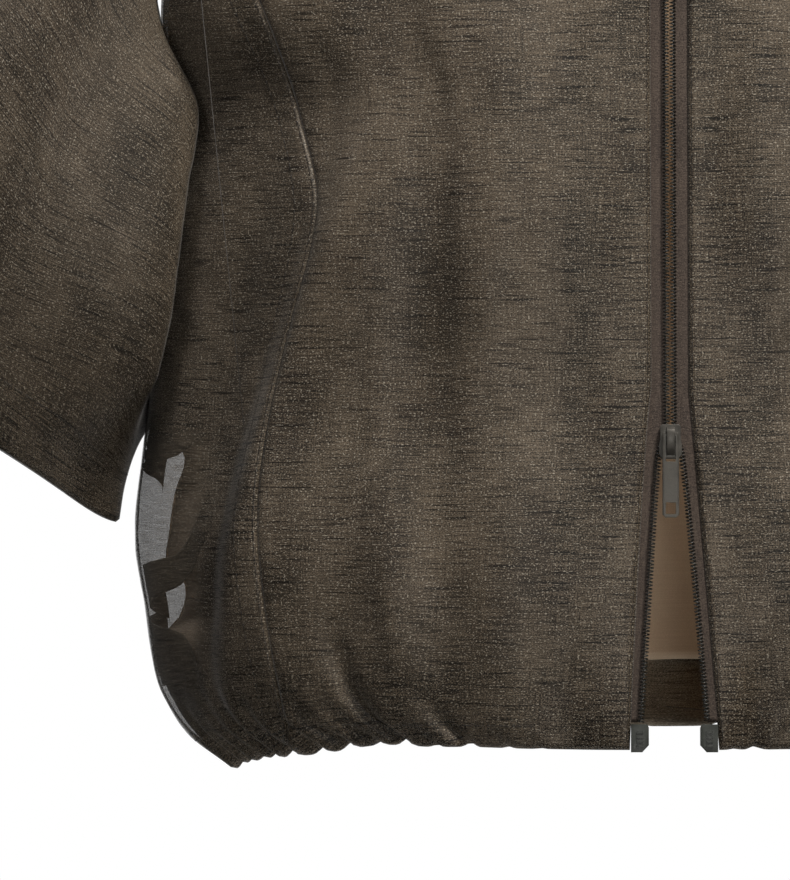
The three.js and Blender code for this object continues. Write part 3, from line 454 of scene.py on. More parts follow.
@dataclass(frozen=True)
class SleeveForm:
    """A sleeve: a straight loft from the armhole to a tilted oval opening."""

    tilt: float = math.radians(31.5)
    hem_x: float = 240.0
    hem_height: float = 95.5
    half_width: float = 88.0
    half_depth: float = 52.0
    backset: float = 12.0
    clearance: float = 1.6
    folds: Ripples = Ripples(21, 1.7, 80, 200, 0.85, 7)
    small: Ripples = Ripples(22, 0.1, 9, 30, 0.3, 12)
    belly: Curve = Curve(((0, -9), (0.12, -2), (0.28, 5), (0.45, 7.5), (0.7, 4), (0.9, 0), (1, 0)))

    def root(self, turn: Array) -> Array:
        """A point of the ring just inside the armhole; turn 0 is the shoulder tip."""
        middle, half = (BODY.underarm + BODY.shoulder) / 2, (BODY.shoulder - BODY.underarm) / 2
        spread = np.where(np.sin(turn) > 0, BODY.front_spread, BODY.back_spread)
        around = math.pi / 2 - (spread - 0.5 / BODY.front_depth(middle)) * np.sin(turn)
        points = BODY.point(around, middle + (half - 1) * np.cos(turn))
        points[..., 0] += self.clearance * (1 - np.cos(turn)) / 2
        return points

    def hem(self, turn: Array) -> Array:
        """A point of the open end."""
        out = self.half_width * (1 + np.cos(turn))
        return vec3(self.hem_x + out * math.cos(self.tilt), self.backset - self.half_depth * np.sin(turn),
                    self.hem_height + out * math.sin(self.tilt))

    def point(self, turn: Array, up: Array) -> Array:
        """A point between the hem (0) and the armhole (1)."""
        share = np.asarray(up)[..., None]
        return self.hem(turn) * (1 - share) + self.root(turn) * share

    def cloth(self, sign: int, turn: Array, up: Array, depth: Array | float) -> Array:
        """A point of the draped sleeve at a depth, on the wearer's right (-1) or left (1).

        Args:
            sign: -1 for the wearer's right, 1 for the left.
            turn: angle round the sleeve from the shoulder tip, towards the front.
            up: 0 at the hem, 1 at the armhole.
            depth: how far under the outer surface, in millimetres.

        Returns:
            The points, in garment millimetres.
        """
        across = self.point(turn + 0.01, up) - self.point(turn - 0.01, up)
        along = self.point(turn, np.clip(up + 0.005, 0, 1)) - self.point(turn, np.clip(up - 0.005, 0, 1))
        normal = unit(np.cross(along, across))
        x = 70 * np.sin(turn) + 8 * sign
        length = up * 300.0
        wave = self.folds.at(x + 20 * np.cos(turn), length * 0.6 + 40 * np.cos(turn))
        wave = wave + self.small.at(70 * turn, length)
        wave = wave * (1 - smooth(0.8, 1.0, up)) * (0.55 + 0.45 * smooth(0, 0.25, up))
        under = 1 - smooth(-0.6, 0.2, np.cos(turn) + 0.55)
        wave = wave * (1 - 0.8 * under)
        wave = wave + self.belly.at(up) * smooth(-0.2, 0.7, np.abs(np.sin(turn)))
        points = self.point(turn, up) + normal * wave[..., None]
        points = self.rest_on_body(sign, points, turn, up) - normal * np.asarray(depth)[..., None]
        points[..., 0] *= sign
        return points

    def rest_on_body(self, sign: int, points: Array, turn: Array, up: Array) -> Array:
        """Moves the underside in until it lies on the side of the body, as a hanging sleeve does."""
        level = np.clip(points[..., 2], 0, BODY.shoulder)
        b = np.where(points[..., 1] < 0, BODY.front_depth(level), BODY.back_depths.at(level))
        share = np.clip(np.abs(points[..., 1]) / b, 0, 0.98)
        side = BODY.half_widths.at(level) * (1 - share**BODY.roundness) ** (1 / BODY.roundness)
        around = sign * (math.pi / 2 + np.arctan2(points[..., 1], points[..., 0]))
        side = side + np.maximum(DRAPE.out(around, level), 0) + self.clearance
        near = smooth(0.0, -0.75, np.cos(turn)) * smooth(0.06, 0.26, up) * (1 - smooth(0.93, 1.0, up))
        moved = points.copy()
        moved[..., 0] += (side - points[..., 0]) * near
        return moved


SLEEVE = SleeveForm()


# ---- Making meshes -------------------------------------------------------------------------


def mesh_object(name: str, bm: bmesh.types.BMesh, smooth_faces: bool = True) -> bpy.types.Object:
    """Links a bmesh as an object and frees it.

    Args:
        name: the piece's name.
        bm: the mesh, in metres.
        smooth_faces: whether its faces are shaded smooth.

    Returns:
        The new object.
    """
    mesh = bpy.data.meshes.new(name)
    bm.to_mesh(mesh)
    bm.free()
    mesh.shade_smooth() if smooth_faces else mesh.shade_flat()
    obj = bpy.data.objects.new(name, mesh)
    bpy.context.scene.collection.objects.link(obj)
    return obj


def repeat(bm: bmesh.types.BMesh, count: int) -> Array:
    """Fills a bmesh with copies of what is in it.

    Args:
        bm: the mesh, holding one of the shapes.
        count: how many of them it holds in the end.

    Returns:
        The places of the vertices, one row of them for each copy.
    """
    one = len(bm.verts)
    while len(bm.verts) < one * count:
        missing = one * count - len(bm.verts)
        bm.verts.ensure_lookup_table()
        chosen = bm.verts[:missing] if missing < len(bm.verts) else bm.verts[:]
        inside = set(chosen)
        edges = [e for e in bm.edges if inside.issuperset(e.verts)]
        faces = [f for f in bm.faces if inside.issuperset(f.verts)]
        bmesh.ops.duplicate(bm, geom=[*chosen, *edges, *faces])
    bm.verts.ensure_lookup_table()
    return np.array([v.co for v in bm.verts]).reshape(count, one, 3)


@dataclass
class ClothGrid:
    """A rectangle of cloth laid on a surface, with its own UV map in metres of cloth."""

    name: str
    columns: int
    rows: int
    surface: Callable[[Array, Array], Array]  # across and up, both 0 to 1, to garment millimetres
    axis: Callable[[Array], Array]  # for points, the nearest point of the line the cloth wraps round
    thickness: float = 0.35
    wraps: bool = False

    def build(self) -> bpy.types.Object:
        """Makes the sheet, faces outwards, with its thickness as a Solidify modifier."""
        bm = bmesh.new()
        bm.loops.layers.uv.new("cloth")
        bmesh.ops.create_grid(bm, x_segments=self.columns, y_segments=self.rows, size=0.5)
        bm.verts.ensure_lookup_table()
        flat = np.array([v.co[:2] for v in bm.verts]) + 0.5
        columns, rows = (len(np.unique(flat[:, k].round(6))) for k in (0, 1))
        i = np.rint(flat[:, 0] * (columns - 1)).astype(int)
        j = np.rint(flat[:, 1] * (rows - 1)).astype(int)
        across, up = np.meshgrid(np.linspace(0, 1, columns), np.linspace(0, 1, rows))
        points = self.surface(across, up)
        self.measure(points)
        placed = place(points)
        for vert, a, b in zip(bm.verts, i, j):
            vert.co = placed[b, a]
        steps_u = np.linalg.norm(np.diff(placed, axis=1), axis=2)
        steps_v = np.linalg.norm(np.diff(placed, axis=0), axis=2)
        arc_u = np.concatenate([np.zeros((rows, 1)), np.cumsum(steps_u, axis=1)], axis=1)
        arc_v = np.concatenate([np.zeros((1, columns)), np.cumsum(steps_v, axis=0)], axis=0)
        arc_v = np.broadcast_to(arc_v.mean(axis=1, keepdims=True), arc_v.shape)
        layer = bm.loops.layers.uv.active
        for face in bm.faces:
            for loop in face.loops:
                k = loop.vert.index
                loop[layer].uv = (arc_u[j[k], i[k]], arc_v[j[k], i[k]])
        if self.wraps:
            bmesh.ops.remove_doubles(bm, verts=bm.verts, dist=1e-6)
        self.face_out(bm)
        obj = mesh_object(self.name, bm)
        solid = obj.modifiers.new("thickness", "SOLIDIFY")
        solid.thickness = self.thickness * MM
        solid.offset = -1.0
        return obj

    def measure(self, points: Array) -> None:
        """Keeps the cloth's widest width, length and area, in metres."""
        across = np.linalg.norm(np.diff(points, axis=1), axis=2)
        along = np.linalg.norm(np.diff(points, axis=0), axis=2)
        cells = np.cross(points[1:, :-1] - points[:-1, :-1], points[:-1, 1:] - points[:-1, :-1])
        self.width = across.sum(axis=1).max() * MM
        self.length = along.sum(axis=0).max() * MM
        self.area = np.linalg.norm(cells, axis=2).sum() * MM * MM

    def face_out(self, bm: bmesh.types.BMesh) -> None:
        """Turns the faces so that they look away from the line that the cloth wraps round."""
        bm.normal_update()
        centres = np.array([f.calc_center_median() for f in bm.faces])
        normals = np.array([f.normal for f in bm.faces])
        away = centres - self.axis(centres)
        if np.einsum("ij,ij->i", normals, away).mean() < 0:
            bmesh.ops.reverse_faces(bm, faces=bm.faces)


def body_axis(points: Array) -> Array:
    """The upright line through the middle of the body, beside each point."""
    return np.stack([points[:, 0] * 0, points[:, 0] * 0 + ORIGIN[1] * MM, points[:, 2]], axis=1)


def sleeve_axis(sign: int) -> Callable[[Array], Array]:
    """The line from the middle of the armhole to the middle of the sleeve's end."""
    turns = np.linspace(0, 2 * math.pi, 24, endpoint=False)
    start, end = (place(ring * np.array([sign, 1, 1])).mean(axis=0)
                  for ring in (SLEEVE.root(turns), SLEEVE.hem(turns)))
    along = unit(end - start)

    def nearest(points: Array) -> Array:
        """The nearest point of the line."""
        return start + ((points - start) @ along)[:, None] * along

    return nearest


@dataclass(frozen=True)
class Stitches:
    """A row of sewn stitches along a line: each stitch is one short rounded thread."""

    pitch: float = 2.7
    length: float = 2.15
    thread: float = 0.2

    def build(self, name: str, lines: list[tuple[Array, Array]]) -> bpy.types.Object:
        """Lays stitches along lines.

        Args:
            name: the piece's name.
            lines: for each row of stitches, its points and its outward directions, in garment millimetres.

        Returns:
            One object with all the stitches.
        """
        frames = []
        for points, normals in lines:
            steps = np.linalg.norm(np.diff(points, axis=0), axis=1)
            arc = np.concatenate([[0], np.cumsum(steps)])
            starts = np.arange(self.pitch * 0.3, arc[-1] - self.length, self.pitch)
            first, last = self.along(arc, points, starts), self.along(arc, points, starts + self.length)
            z = last - first
            y = unit(self.along(arc, normals, starts + self.length / 2))
            x = unit(np.cross(y, z))
            middle = (first + last) / 2
            frames.append(np.stack([x * self.thread, y * self.thread * 0.8, z / 2, middle], axis=1))
        frame = np.concatenate(frames)
        bm = bmesh.new()
        bmesh.ops.create_uvsphere(bm, u_segments=6, v_segments=4, radius=1.0)
        shapes = repeat(bm, len(frame))
        placed = place(np.einsum("nvk,nkc->nvc", shapes, frame[:, :3]) + frame[:, 3:])
        for vert, co in zip(bm.verts, placed.reshape(-1, 3)):
            vert.co = co
        return mesh_object(name, bm)

    @staticmethod
    def along(arc: Array, values: Array, where: Array) -> Array:
        """Values at distances along a line."""
        return np.stack([np.interp(where, arc, values[:, k]) for k in range(3)], axis=1)


# ---- Finishes ------------------------------------------------------------------------------


def linear(code: str) -> tuple[float, float, float, float]:
    """An sRGB hex colour as linear RGBA."""
    parts = [int(code[i:i + 2], 16) / 255 for i in (1, 3, 5)]
    rgb = [c / 12.92 if c <= 0.04045 else ((c + 0.055) / 1.055) ** 2.4 for c in parts]
    return (*rgb, 1.0)


def add(tree: bpy.types.NodeTree, kind: str, inputs: dict | None = None, **settings) -> bpy.types.Node:
    """Adds a node with its settings and links.

    Args:
        tree: the material's node tree.
        kind: the node's type name, without "ShaderNode".
        inputs: for each input's name or number, a value or an output socket to link.
        settings: attributes of the node.

    Returns:
        The new node.
    """
    node = tree.nodes.new("ShaderNode" + kind)
    for key, value in settings.items():
        setattr(node, key, value)
    for key, value in (inputs or {}).items():
        if isinstance(value, bpy.types.NodeSocket):
            tree.links.new(value, node.inputs[key])
        else:
            node.inputs[key].default_value = value
    return node


def new_material(name: str) -> tuple[bpy.types.Material, bpy.types.NodeTree]:
    """An empty node material."""
    material = bpy.data.materials.new(name)
    material.use_nodes = True
    material.node_tree.nodes.clear()
    return material, material.node_tree


@dataclass(frozen=True)
class WovenCloth:
    """Plain-woven cloth with uneven yarns: thick places show as streaks along and across."""

    name: str
    dark: str
    light: str
    # colour of the painted glints: pale specks that stand in for highlights on the yarns
    glint: str
    yarn: float = 0.9  # mm between yarns; real ones are nearer 0.4, which would not show
    streak: float = 14.0  # mm, length of a thick place in a weft yarn
    cover: tuple[float, float] = (1.0, 1.0)  # share of light that one face of the cloth stops
    roughness: float = 0.55
    sheen: float = 0.2
    relief: float = 0.12  # mm
    crinkle: float = 0.1  # mm
    slub: float = 0.6  # how much darker the thickest places are
    thin_from: tuple[float, float] = (0.200, 0.207)  # m from the middle over which extra see-through starts
    thin_top: float = -0.405  # m, height under which it applies
    thinner: float = 0.0  # taken off the cover there: a studio aid, not a property of the cloth

    def make(self) -> bpy.types.Material:
        """Makes the material."""
        material, tree = new_material(self.name)
        uv = add(tree, "UVMap", uv_map="cloth").outputs["UV"]

        def noise(across: float, up: float, detail: float = 2.0) -> bpy.types.NodeSocket:
            """Noise whose grains are that many millimetres across and up."""
            scaled = add(tree, "Mapping", {"Vector": uv, "Scale": (1 / (across * MM), 1 / (up * MM), 1)})
            made = add(tree, "TexNoise", {"Vector": scaled.outputs[0], "Scale": 1.0, "Detail": detail})
            return made.outputs[0]

        def math_node(operation: str, a: object, b: object) -> bpy.types.NodeSocket:
            """One sum."""
            return add(tree, "Math", {0: a, 1: b}, operation=operation).outputs[0]

        def ranged(value: bpy.types.NodeSocket, low: float, high: float, a: float,
                   b: float) -> bpy.types.NodeSocket:
            """A value moved from one range to another."""
            return add(tree, "MapRange", {0: value, 1: low, 2: high, 3: a, 4: b}).outputs[0]

        weft = noise(self.streak, self.yarn * 0.55)
        warp = noise(self.yarn * 0.5, self.streak * 1.8)
        grain = noise(self.yarn * 0.75, self.yarn * 0.4, 0.0)
        slub = noise(self.streak * 1.7, self.yarn * 1.3, 1.0)
        cloud = noise(40, 60)
        threads = math_node("ADD", math_node("MULTIPLY", weft, 0.38), math_node("MULTIPLY", warp, 0.17))
        threads = math_node("ADD", threads, math_node("MULTIPLY", grain, 0.45))
        tone = math_node("ADD", threads, math_node("MULTIPLY", ranged(cloud, 0.3, 0.7, -0.5, 0.5), 0.10))
        thick = ranged(slub, 0.58, 0.74, 0, 1)
        tone = math_node("SUBTRACT", tone, math_node("MULTIPLY", thick, self.slub * 0.25))
        ramp = add(tree, "ValToRGB", {0: tone})
        ramp.color_ramp.elements[0].position = 0.42
        ramp.color_ramp.elements[0].color = linear(self.dark)
        ramp.color_ramp.elements[1].position = 0.59
        ramp.color_ramp.elements[1].color = linear(self.light)
        # painted glints: small pale specks mixed into the colour stand in for highlights on single yarns
        painted_glint_share = ranged(noise(self.yarn * 1.1, self.yarn * 0.7, 0.0), 0.66, 0.76, 0.0, 0.7)
        colour = add(tree, "Mix", {0: painted_glint_share, 6: ramp.outputs[0], 7: linear(self.glint)}, data_type="RGBA")
        crinkle = add(tree, "Bump", {"Height": noise(7, 10, 3.0), "Distance": self.crinkle * MM,
                                     "Strength": 1.0})
        bump = add(tree, "Bump", {"Height": threads, "Distance": self.relief * MM, "Strength": 1.0,
                                  "Normal": crinkle.outputs[0]})
        shader = add(tree, "BsdfPrincipled", {
            "Base Color": colour.outputs[2], "Roughness": ranged(threads, 0.35, 0.65, self.roughness + 0.1,
                                                                 self.roughness - 0.08),
            "Normal": bump.outputs[0], "Sheen Weight": self.sheen, "Sheen Roughness": 0.4, "IOR": 1.38})
        if self.cover[1] < 1 and not self.thinner:
            tree.links.new(ranged(threads, 0.38, 0.62, *self.cover), shader.inputs["Alpha"])
        if self.thinner:
            place_on = add(tree, "TexCoord").outputs["Object"]
            split = add(tree, "SeparateXYZ", {0: place_on}).outputs
            aside = ranged(math_node("ABSOLUTE", split[0], 0.0), *self.thin_from, 0.0, 1.0)
            low = ranged(split[2], self.thin_top, self.thin_top - 0.012, 0.0, 1.0)
            stopped = math_node("SUBTRACT", ranged(threads, 0.38, 0.62, *self.cover),
                                math_node("MULTIPLY", math_node("MULTIPLY", aside, low), self.thinner))
            tree.links.new(stopped, shader.inputs["Alpha"])
        add(tree, "OutputMaterial", {"Surface": shader.outputs[0]})
        return material


@dataclass(frozen=True)
class HardFinish:
    """Metal or plastic with a fine uneven surface."""

    name: str
    colour: str
    worn: str
    roughness: float
    metallic: float = 0.0
    grit: float = 0.35  # mm
    relief: float = 0.01  # mm

    def make(self) -> bpy.types.Material:
        """Makes the material."""
        material, tree = new_material(self.name)
        place_on = add(tree, "TexCoord").outputs["Object"]
        fine = add(tree, "TexNoise", {"Vector": place_on, "Scale": 1 / (self.grit * MM),
                                      "Detail": 3.0}).outputs[0]
        broad = add(tree, "TexNoise", {"Vector": place_on, "Scale": 1 / (6 * MM), "Detail": 2.0}).outputs[0]
        mixed = add(tree, "Math", {0: fine, 1: broad}, operation="MULTIPLY").outputs[0]
        share = add(tree, "MapRange", {0: mixed, 1: 0.15, 2: 0.4, 3: 0.0, 4: 1.0}).outputs[0]
        colour = add(tree, "Mix", {0: share, 6: linear(self.colour), 7: linear(self.worn)}, data_type="RGBA")
        rough = add(tree, "MapRange", {0: broad, 1: 0.3, 2: 0.7, 3: self.roughness - 0.06,
                                       4: self.roughness + 0.08})
        bump = add(tree, "Bump", {"Height": fine, "Distance": self.relief * MM, "Strength": 1.0})
        shader = add(tree, "BsdfPrincipled", {"Base Color": colour.outputs[2], "Roughness": rough.outputs[0],
                                              "Metallic": self.metallic, "Normal": bump.outputs[0]})
        add(tree, "OutputMaterial", {"Surface": shader.outputs[0]})
        return material


VOILE_TONES = ("#110d08", "#675c4e", "#b0a899")  # thick places, even cloth, painted glints
VOILE_COVER = (0.55, 0.84)


@dataclass
class Finishes:
    """All finishes of the jacket, made once. Yarns are drawn coarser than real ones, so that they show."""

    # dull lustre with dark streaks along the weft, and pale specks that are painted glints
    shell: bpy.types.Material = field(default_factory=lambda: WovenCloth(
        "nylon_cotton_voile_woven", *VOILE_TONES, cover=VOILE_COVER, roughness=0.46,
        sheen=0.12).make())
    # the same cloth, low at the sides more see-through than elsewhere
    sheer: bpy.types.Material = field(default_factory=lambda: WovenCloth(
        "nylon_cotton_voile_woven_single_layer", *VOILE_TONES, cover=VOILE_COVER,
        roughness=0.46, sheen=0.12, thinner=0.29).make())
    # the same cloth made opaque, and painted paler than the shell: the lighter colours stand in for light that
    # reaches the inside of the hem, where it is seen
    fused_painted_paler: bpy.types.Material = field(default_factory=lambda: WovenCloth(
        "nylon_cotton_voile_fused_painted_paler", "#4a4236", "#8f8473", "#b0a796", roughness=0.5,
        sheen=0.2).make())
    # smooth pale tan with a fine lengthwise sheen; painted light: the base colour is raised well above the
    # lining's own tan-brown to stand in for light that reaches the inside of the jacket
    lining: bpy.types.Material = field(default_factory=lambda: WovenCloth(
        "viscose_taffeta_woven_lining_painted_paler", "#cfb99f", "#ddc8af", "#e3d1bb", yarn=0.7, streak=30, roughness=0.5,
        relief=0.04, crinkle=0.35, slub=0.1, sheen=0.1).make())
    # matt reddish dark brown ribs beside the coils
    tape: bpy.types.Material = field(default_factory=lambda: WovenCloth(
        "polyester_zip_tape_woven", "#2c2420", "#4d423a", "#5e544a", yarn=0.8, streak=3, roughness=0.8,
        relief=0.2, crinkle=0.05, slub=0.3, sheen=0.1).make())
    # matt near-black ribs, hidden in the casing
    ribbon: bpy.types.Material = field(default_factory=lambda: WovenCloth(
        "elastic_ribbon_woven", "#1f1c18", "#37332d", "#4a463f", yarn=0.8, streak=2, roughness=0.85,
        relief=0.25, crinkle=0.1).make())
    # nearly black dashes along the seams
    thread: bpy.types.Material = field(default_factory=lambda: HardFinish(
        "polyester_sewing_thread_twisted", "#120e0a", "#231c15", 0.6, grit=0.3, relief=0.03).make())
    # small glints on near-black turns
    coil: bpy.types.Material = field(default_factory=lambda: HardFinish(
        "nylon_coil_extruded", "#0c0d0b", "#1e1f1b", 0.3, grit=0.5).make())
    # satin dark grey-green moulding
    block: bpy.types.Material = field(default_factory=lambda: HardFinish(
        "acetal_moulded_block", "#1e211d", "#2b2f2a", 0.42, grit=0.4, relief=0.02).make())
    # satin dark grey metal under lacquer
    metal: bpy.types.Material = field(default_factory=lambda: HardFinish(
        "zinc_slider_satin_lacquered", "#3f3d39", "#55524d", 0.42, metallic=0.55, grit=0.25).make())


# ---- Sub-assemblies ------------------------------------------------------------------------


@dataclass
class Jacket:
    """Shared making of cloth pieces: mesh, finish, body and the sheet's cut."""

    finishes: Finishes
    pieces: list[bpy.types.Object] = field(default_factory=list)

    def dress(self, obj: bpy.types.Object, material: bpy.types.Material, slot: str, *nodes: str) -> None:
        """Gives a piece its finish, and lets it stand for CAD nodes."""
        obj.data.materials.clear()
        obj.data.materials.append(material)
        if nodes:
            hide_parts(*nodes)
        self.pieces.append(obj)
        LOG.info("%s: %d faces", obj.name, len(obj.data.polygons))

    def sheet(self, grid: ClothGrid, obj: bpy.types.Object, held: str, rests_on: list[str],
              fullness: float = 1.0) -> None:
        width, length = grid.width * fullness, grid.length
        area = min(grid.area * fullness, width * length)
        width = min(width, area / (0.4 * length))  # a slanted strip is narrower than the box it lies in
        LOG.info("%s cut %.3f x %.3f m, area %.4f m2", obj.name, width, length, area)


def roll(distance: Array, radius: float) -> Array:
    """Depth of a rounded, turned-under edge at a distance from it."""
    d = np.clip(radius - distance, 0, radius)
    return radius - np.sqrt(radius * radius - d * d)


@dataclass
class Shell(Jacket):
    """The outer body: two fronts, two side panels and the back."""

    gap: float = 0.15
    seam_sink: float = 0.9

    def levels(self, up: Array, top: float) -> Array:
        """Heights with finer spacing near the hem."""
        return top * (0.55 * up + 0.45 * up**1.9)

    def front(self, side: Side) -> None:
        """The front panel, from the zip to the panel seam and up to the neck."""
        def surface(across: Array, up: Array) -> Array:
            """Place on the panel."""
            level = self.levels(up, BODY.top)
            start = BODY.angle_at(BODY.zip_edge(side, level[:, 0]), level[:, 0])[:, None]
            seam = np.where(level[:, 0] < BODY.seam_top, BODY.panel_seam(level[:, 0]),
                            BODY.front_edge(level[:, 0]))[:, None] - BODY.gap(self.gap / 2, level)
            around = start + (seam - start) * across
            inward = (BODY.point(around, level)[..., 0] - BODY.point(start, level)[..., 0])
            outward = (seam - around) * 150
            depth = roll(inward, 1.2) + roll(level, 1.6) + self.seam_sink * np.exp(-((outward / 1.1) ** 2))
            return body_cloth(side.sign * around, level, depth)

        grid = ClothGrid(f"front_panel_{side.word}", 100, 250, surface, body_axis)
        obj = grid.build()
        self.dress(obj, self.finishes.shell, "shell_cloth", f"shell_front_{side.word}")
        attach(obj, GARMENT)
        self.sheet(grid, obj, "gathered", ["collar_outer"], 1.06)

    def side_panel(self, side: Side) -> None:
        """The side panel, from the panel seam to the side seam."""
        def surface(across: Array, up: Array) -> Array:
            """Place on the panel."""
            level = self.levels(up, BODY.seam_top)
            start = BODY.panel_seam(level[:, 0])[:, None] + BODY.gap(self.gap / 2, level)
            end = BODY.front_edge(level)
            around = start + (end - start) * across
            near = np.minimum(around - start, end - around) * 150
            depth = roll(level, 1.6) + self.seam_sink * np.exp(-((near / 1.1) ** 2))
            return body_cloth(side.sign * around, level, depth)

        grid = ClothGrid(f"side_panel_{side.word}", 56, 190, surface, body_axis)
        obj = grid.build()
        self.dress(obj, self.finishes.sheer, "shell_cloth", f"shell_side_{side.word}")
        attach(obj, GARMENT)
        self.sheet(grid, obj, "gathered", [f"front_panel_{side.word}"], 1.1)

    def back(self) -> None:
        """The back panel."""
        def surface(across: Array, up: Array) -> Array:
            """Place on the panel."""
            level = self.levels(up, BODY.top)
            start = BODY.back_edge(level)
            around = start + (2 * math.pi - 2 * start) * across
            near = np.minimum(around - start, 2 * math.pi - start - around) * 150
            depth = roll(level, 1.6) + self.seam_sink * np.exp(-((near / 1.1) ** 2))
            return body_cloth(around, level, depth)

        grid = ClothGrid("back_panel", 210, 210, surface, body_axis)
        obj = grid.build()
        self.dress(obj, self.finishes.sheer, "shell_cloth", "shell_back")
        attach(obj, GARMENT)
        self.sheet(grid, obj, "gathered", ["collar_outer"], 1.15)

    def build(self) -> None:
        """Makes all shell panels."""
        for side in Side:
            self.front(side)
            self.side_panel(side)
        self.back()


@dataclass
class Linings(Jacket):
    """Half lining, facings and the elastic in its casing."""

    def lining_in(self, side: Side) -> Curve:
        """Half width of the lining low at the side, where it hangs away from the shell."""
        shift = 0 if side is Side.RIGHT else 16
        return Curve(((30, 226), (46, 226), (49, 220), (54, 213), (62, 209.5), (70, 210.5), (77, 217), (90, 216),
                      (109, 213),
                      (128 + shift, 209.5), (137 + shift, 226), (150 + shift, 224), (191, 217), (270, 206)))

    @staticmethod
    def lining_depth(around: Array, level: Array, depth: Array | float) -> Array:
        """Depth of the lining, which lies close under the shell at the sides, above the turned-up hem."""
        aside = smooth(0.8, 0.96, np.abs(np.sin(around)))
        close = aside * smooth(38, 52, level) * (1 - smooth(380, 460, level))
        return depth + (1.5 - depth) * close

    def hang(self, points: Array, around: Array, level: Array) -> Array:
        """Lets the lining hang inside its own narrower line at the sides."""
        width = BODY.half_widths.at(level) - 5.6
        narrow = np.where(np.sin(around) < 0, self.lining_in(Side.RIGHT).at(level),
                          self.lining_in(Side.LEFT).at(level))
        share = np.minimum(narrow / width, 1.0)
        near = smooth(0.62, 0.93, np.abs(points[..., 0]) / width) * (1 - smooth(240, 270, level))
        points[..., 0] *= 1 - (1 - share) * near
        return points

    def lining_front(self, side: Side) -> None:
        """Front lining, from the facing to the side seam."""
        def surface(across: Array, up: Array) -> Array:
            """Place on the lining."""
            level = 30 + (BODY.top - 34) * up
            start = BODY.angle_at(BODY.zip_edge(side, level[:, 0]) + 29, level[:, 0])[:, None]
            around = start + (BODY.front_edge(level, 4.0) - start) * across
            return self.hang(body_cloth(side.sign * around, level, self.lining_depth(around, level, 4.8)),
                             side.sign * around, level)

        grid = ClothGrid(f"lining_front_{side.word}", 60, 130, surface, body_axis, 0.25)
        obj = grid.build()
        self.dress(obj, self.finishes.lining, "lining_cloth", f"lining_{side.word}")
        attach(obj, GARMENT)
        self.sheet(grid, obj, "hung", [f"facing_{side.word}"])

    def lining_back(self) -> None:
        """Back lining."""
        def surface(across: Array, up: Array) -> Array:
            """Place on the lining."""
            level = 30 + (BODY.top - 34) * up
            start = BODY.back_edge(level, 4.0)
            around = start + (2 * math.pi - 2 * start) * across
            wave = 1.2 * np.sin(around * 23 + level / 90) * (1 - smooth(300, 420, level))
            depth = self.lining_depth(around, level, 5.6 + wave)
            return self.hang(body_cloth(around, level, depth), around, level)

        grid = ClothGrid("lining_rear", 130, 130, surface, body_axis, 0.25)
        obj = grid.build()
        self.dress(obj, self.finishes.lining, "lining_cloth", "lining_back")
        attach(obj, GARMENT)
        self.sheet(grid, obj, "hung", ["collar_inner"])

    def facing(self, side: Side) -> None:
        """Facing behind the front edge."""
        def surface(across: Array, up: Array) -> Array:
            """Place on the facing."""
            level = 35 + (BODY.top - 37) * up
            edge = BODY.zip_edge(side, level[:, 0])
            start = BODY.angle_at(edge, level[:, 0])[:, None]
            end = BODY.angle_at(edge + 36, level[:, 0])[:, None]
            return body_cloth(side.sign * (start + (end - start) * across), level, 3.0)

        grid = ClothGrid(f"facing_{side.word}", 18, 140, surface, body_axis)
        obj = grid.build()
        self.dress(obj, self.finishes.fused_painted_paler, "shell_cloth", f"front_facing_{side.word}")
        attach(obj, GARMENT)
        self.sheet(grid, obj, "hung", [f"front_panel_{side.word}"])

    def hem_facing(self, word: str, start_of: Callable[[Array], Array], end_of: Callable[[Array], Array],
                   columns: int) -> None:
        """Turned-up hem inside, with the elastic's casing drawn in below its row of stitches."""
        def surface(across: Array, up: Array) -> Array:
            """Place on the facing."""
            level = 0.15 + 33 * up
            start, end = start_of(level), end_of(level)
            around = start + (end - start) * across
            casing = 0.5 * np.exp(-(((level - 10) / 1.2) ** 2))
            turned = 1.35 * (1 - smooth(0, 2.5, level))
            return body_cloth(around, level, 3.1 - casing - turned)

        grid = ClothGrid(f"hem_turnup_{word}", columns, 22, surface, body_axis)
        obj = grid.build()
        self.dress(obj, self.finishes.fused_painted_paler, "shell_cloth", f"hem_facing_{word}")
        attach(obj, GARMENT)
        self.sheet(grid, obj, "gathered", ["back_panel" if word == "back" else f"front_panel_{word}"], 1.15)

    def tuck(self, side: Side, name: str, inner: Curve, outer: Curve, depth: float) -> None:
        """A loose fold between shell and lining at the side, in the dark cloth of the turn-ups.

        Args:
            side: the side of the wearer.
            name: which fold it is.
            inner: distance of its inner edge from the zip line, by level; its ends set how high it reaches.
            outer: the same for its outer edge.
            depth: how far it lies under the shell's surface, in millimetres.
        """
        shift = 0 if side is Side.RIGHT else 9

        def surface(across: Array, up: Array) -> Array:
            """Place on the fold."""
            low, high = inner.pairs[0][0], inner.pairs[-1][0]
            level = low + (high - low) * up
            widest = BODY.half_widths.at(level)
            x = inner.at(level) + (np.maximum(outer.at(level) - inner.at(level), 0.5)) * across
            around = BODY.angle_at(np.minimum(x, widest - 1.2), level) + 0.5 * smooth(-9, 2, x - widest)
            return body_cloth(side.sign * around, level + shift, depth)

        grid = ClothGrid(f"lining_tuck_{name}_{side.word}", 14, 40, surface, body_axis, 0.25)
        obj = grid.build()
        self.dress(obj, self.finishes.fused_painted_paler, "shell_cloth")
        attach(obj, GARMENT)
        self.sheet(grid, obj, "folded", [f"lining_front_{side.word}"])

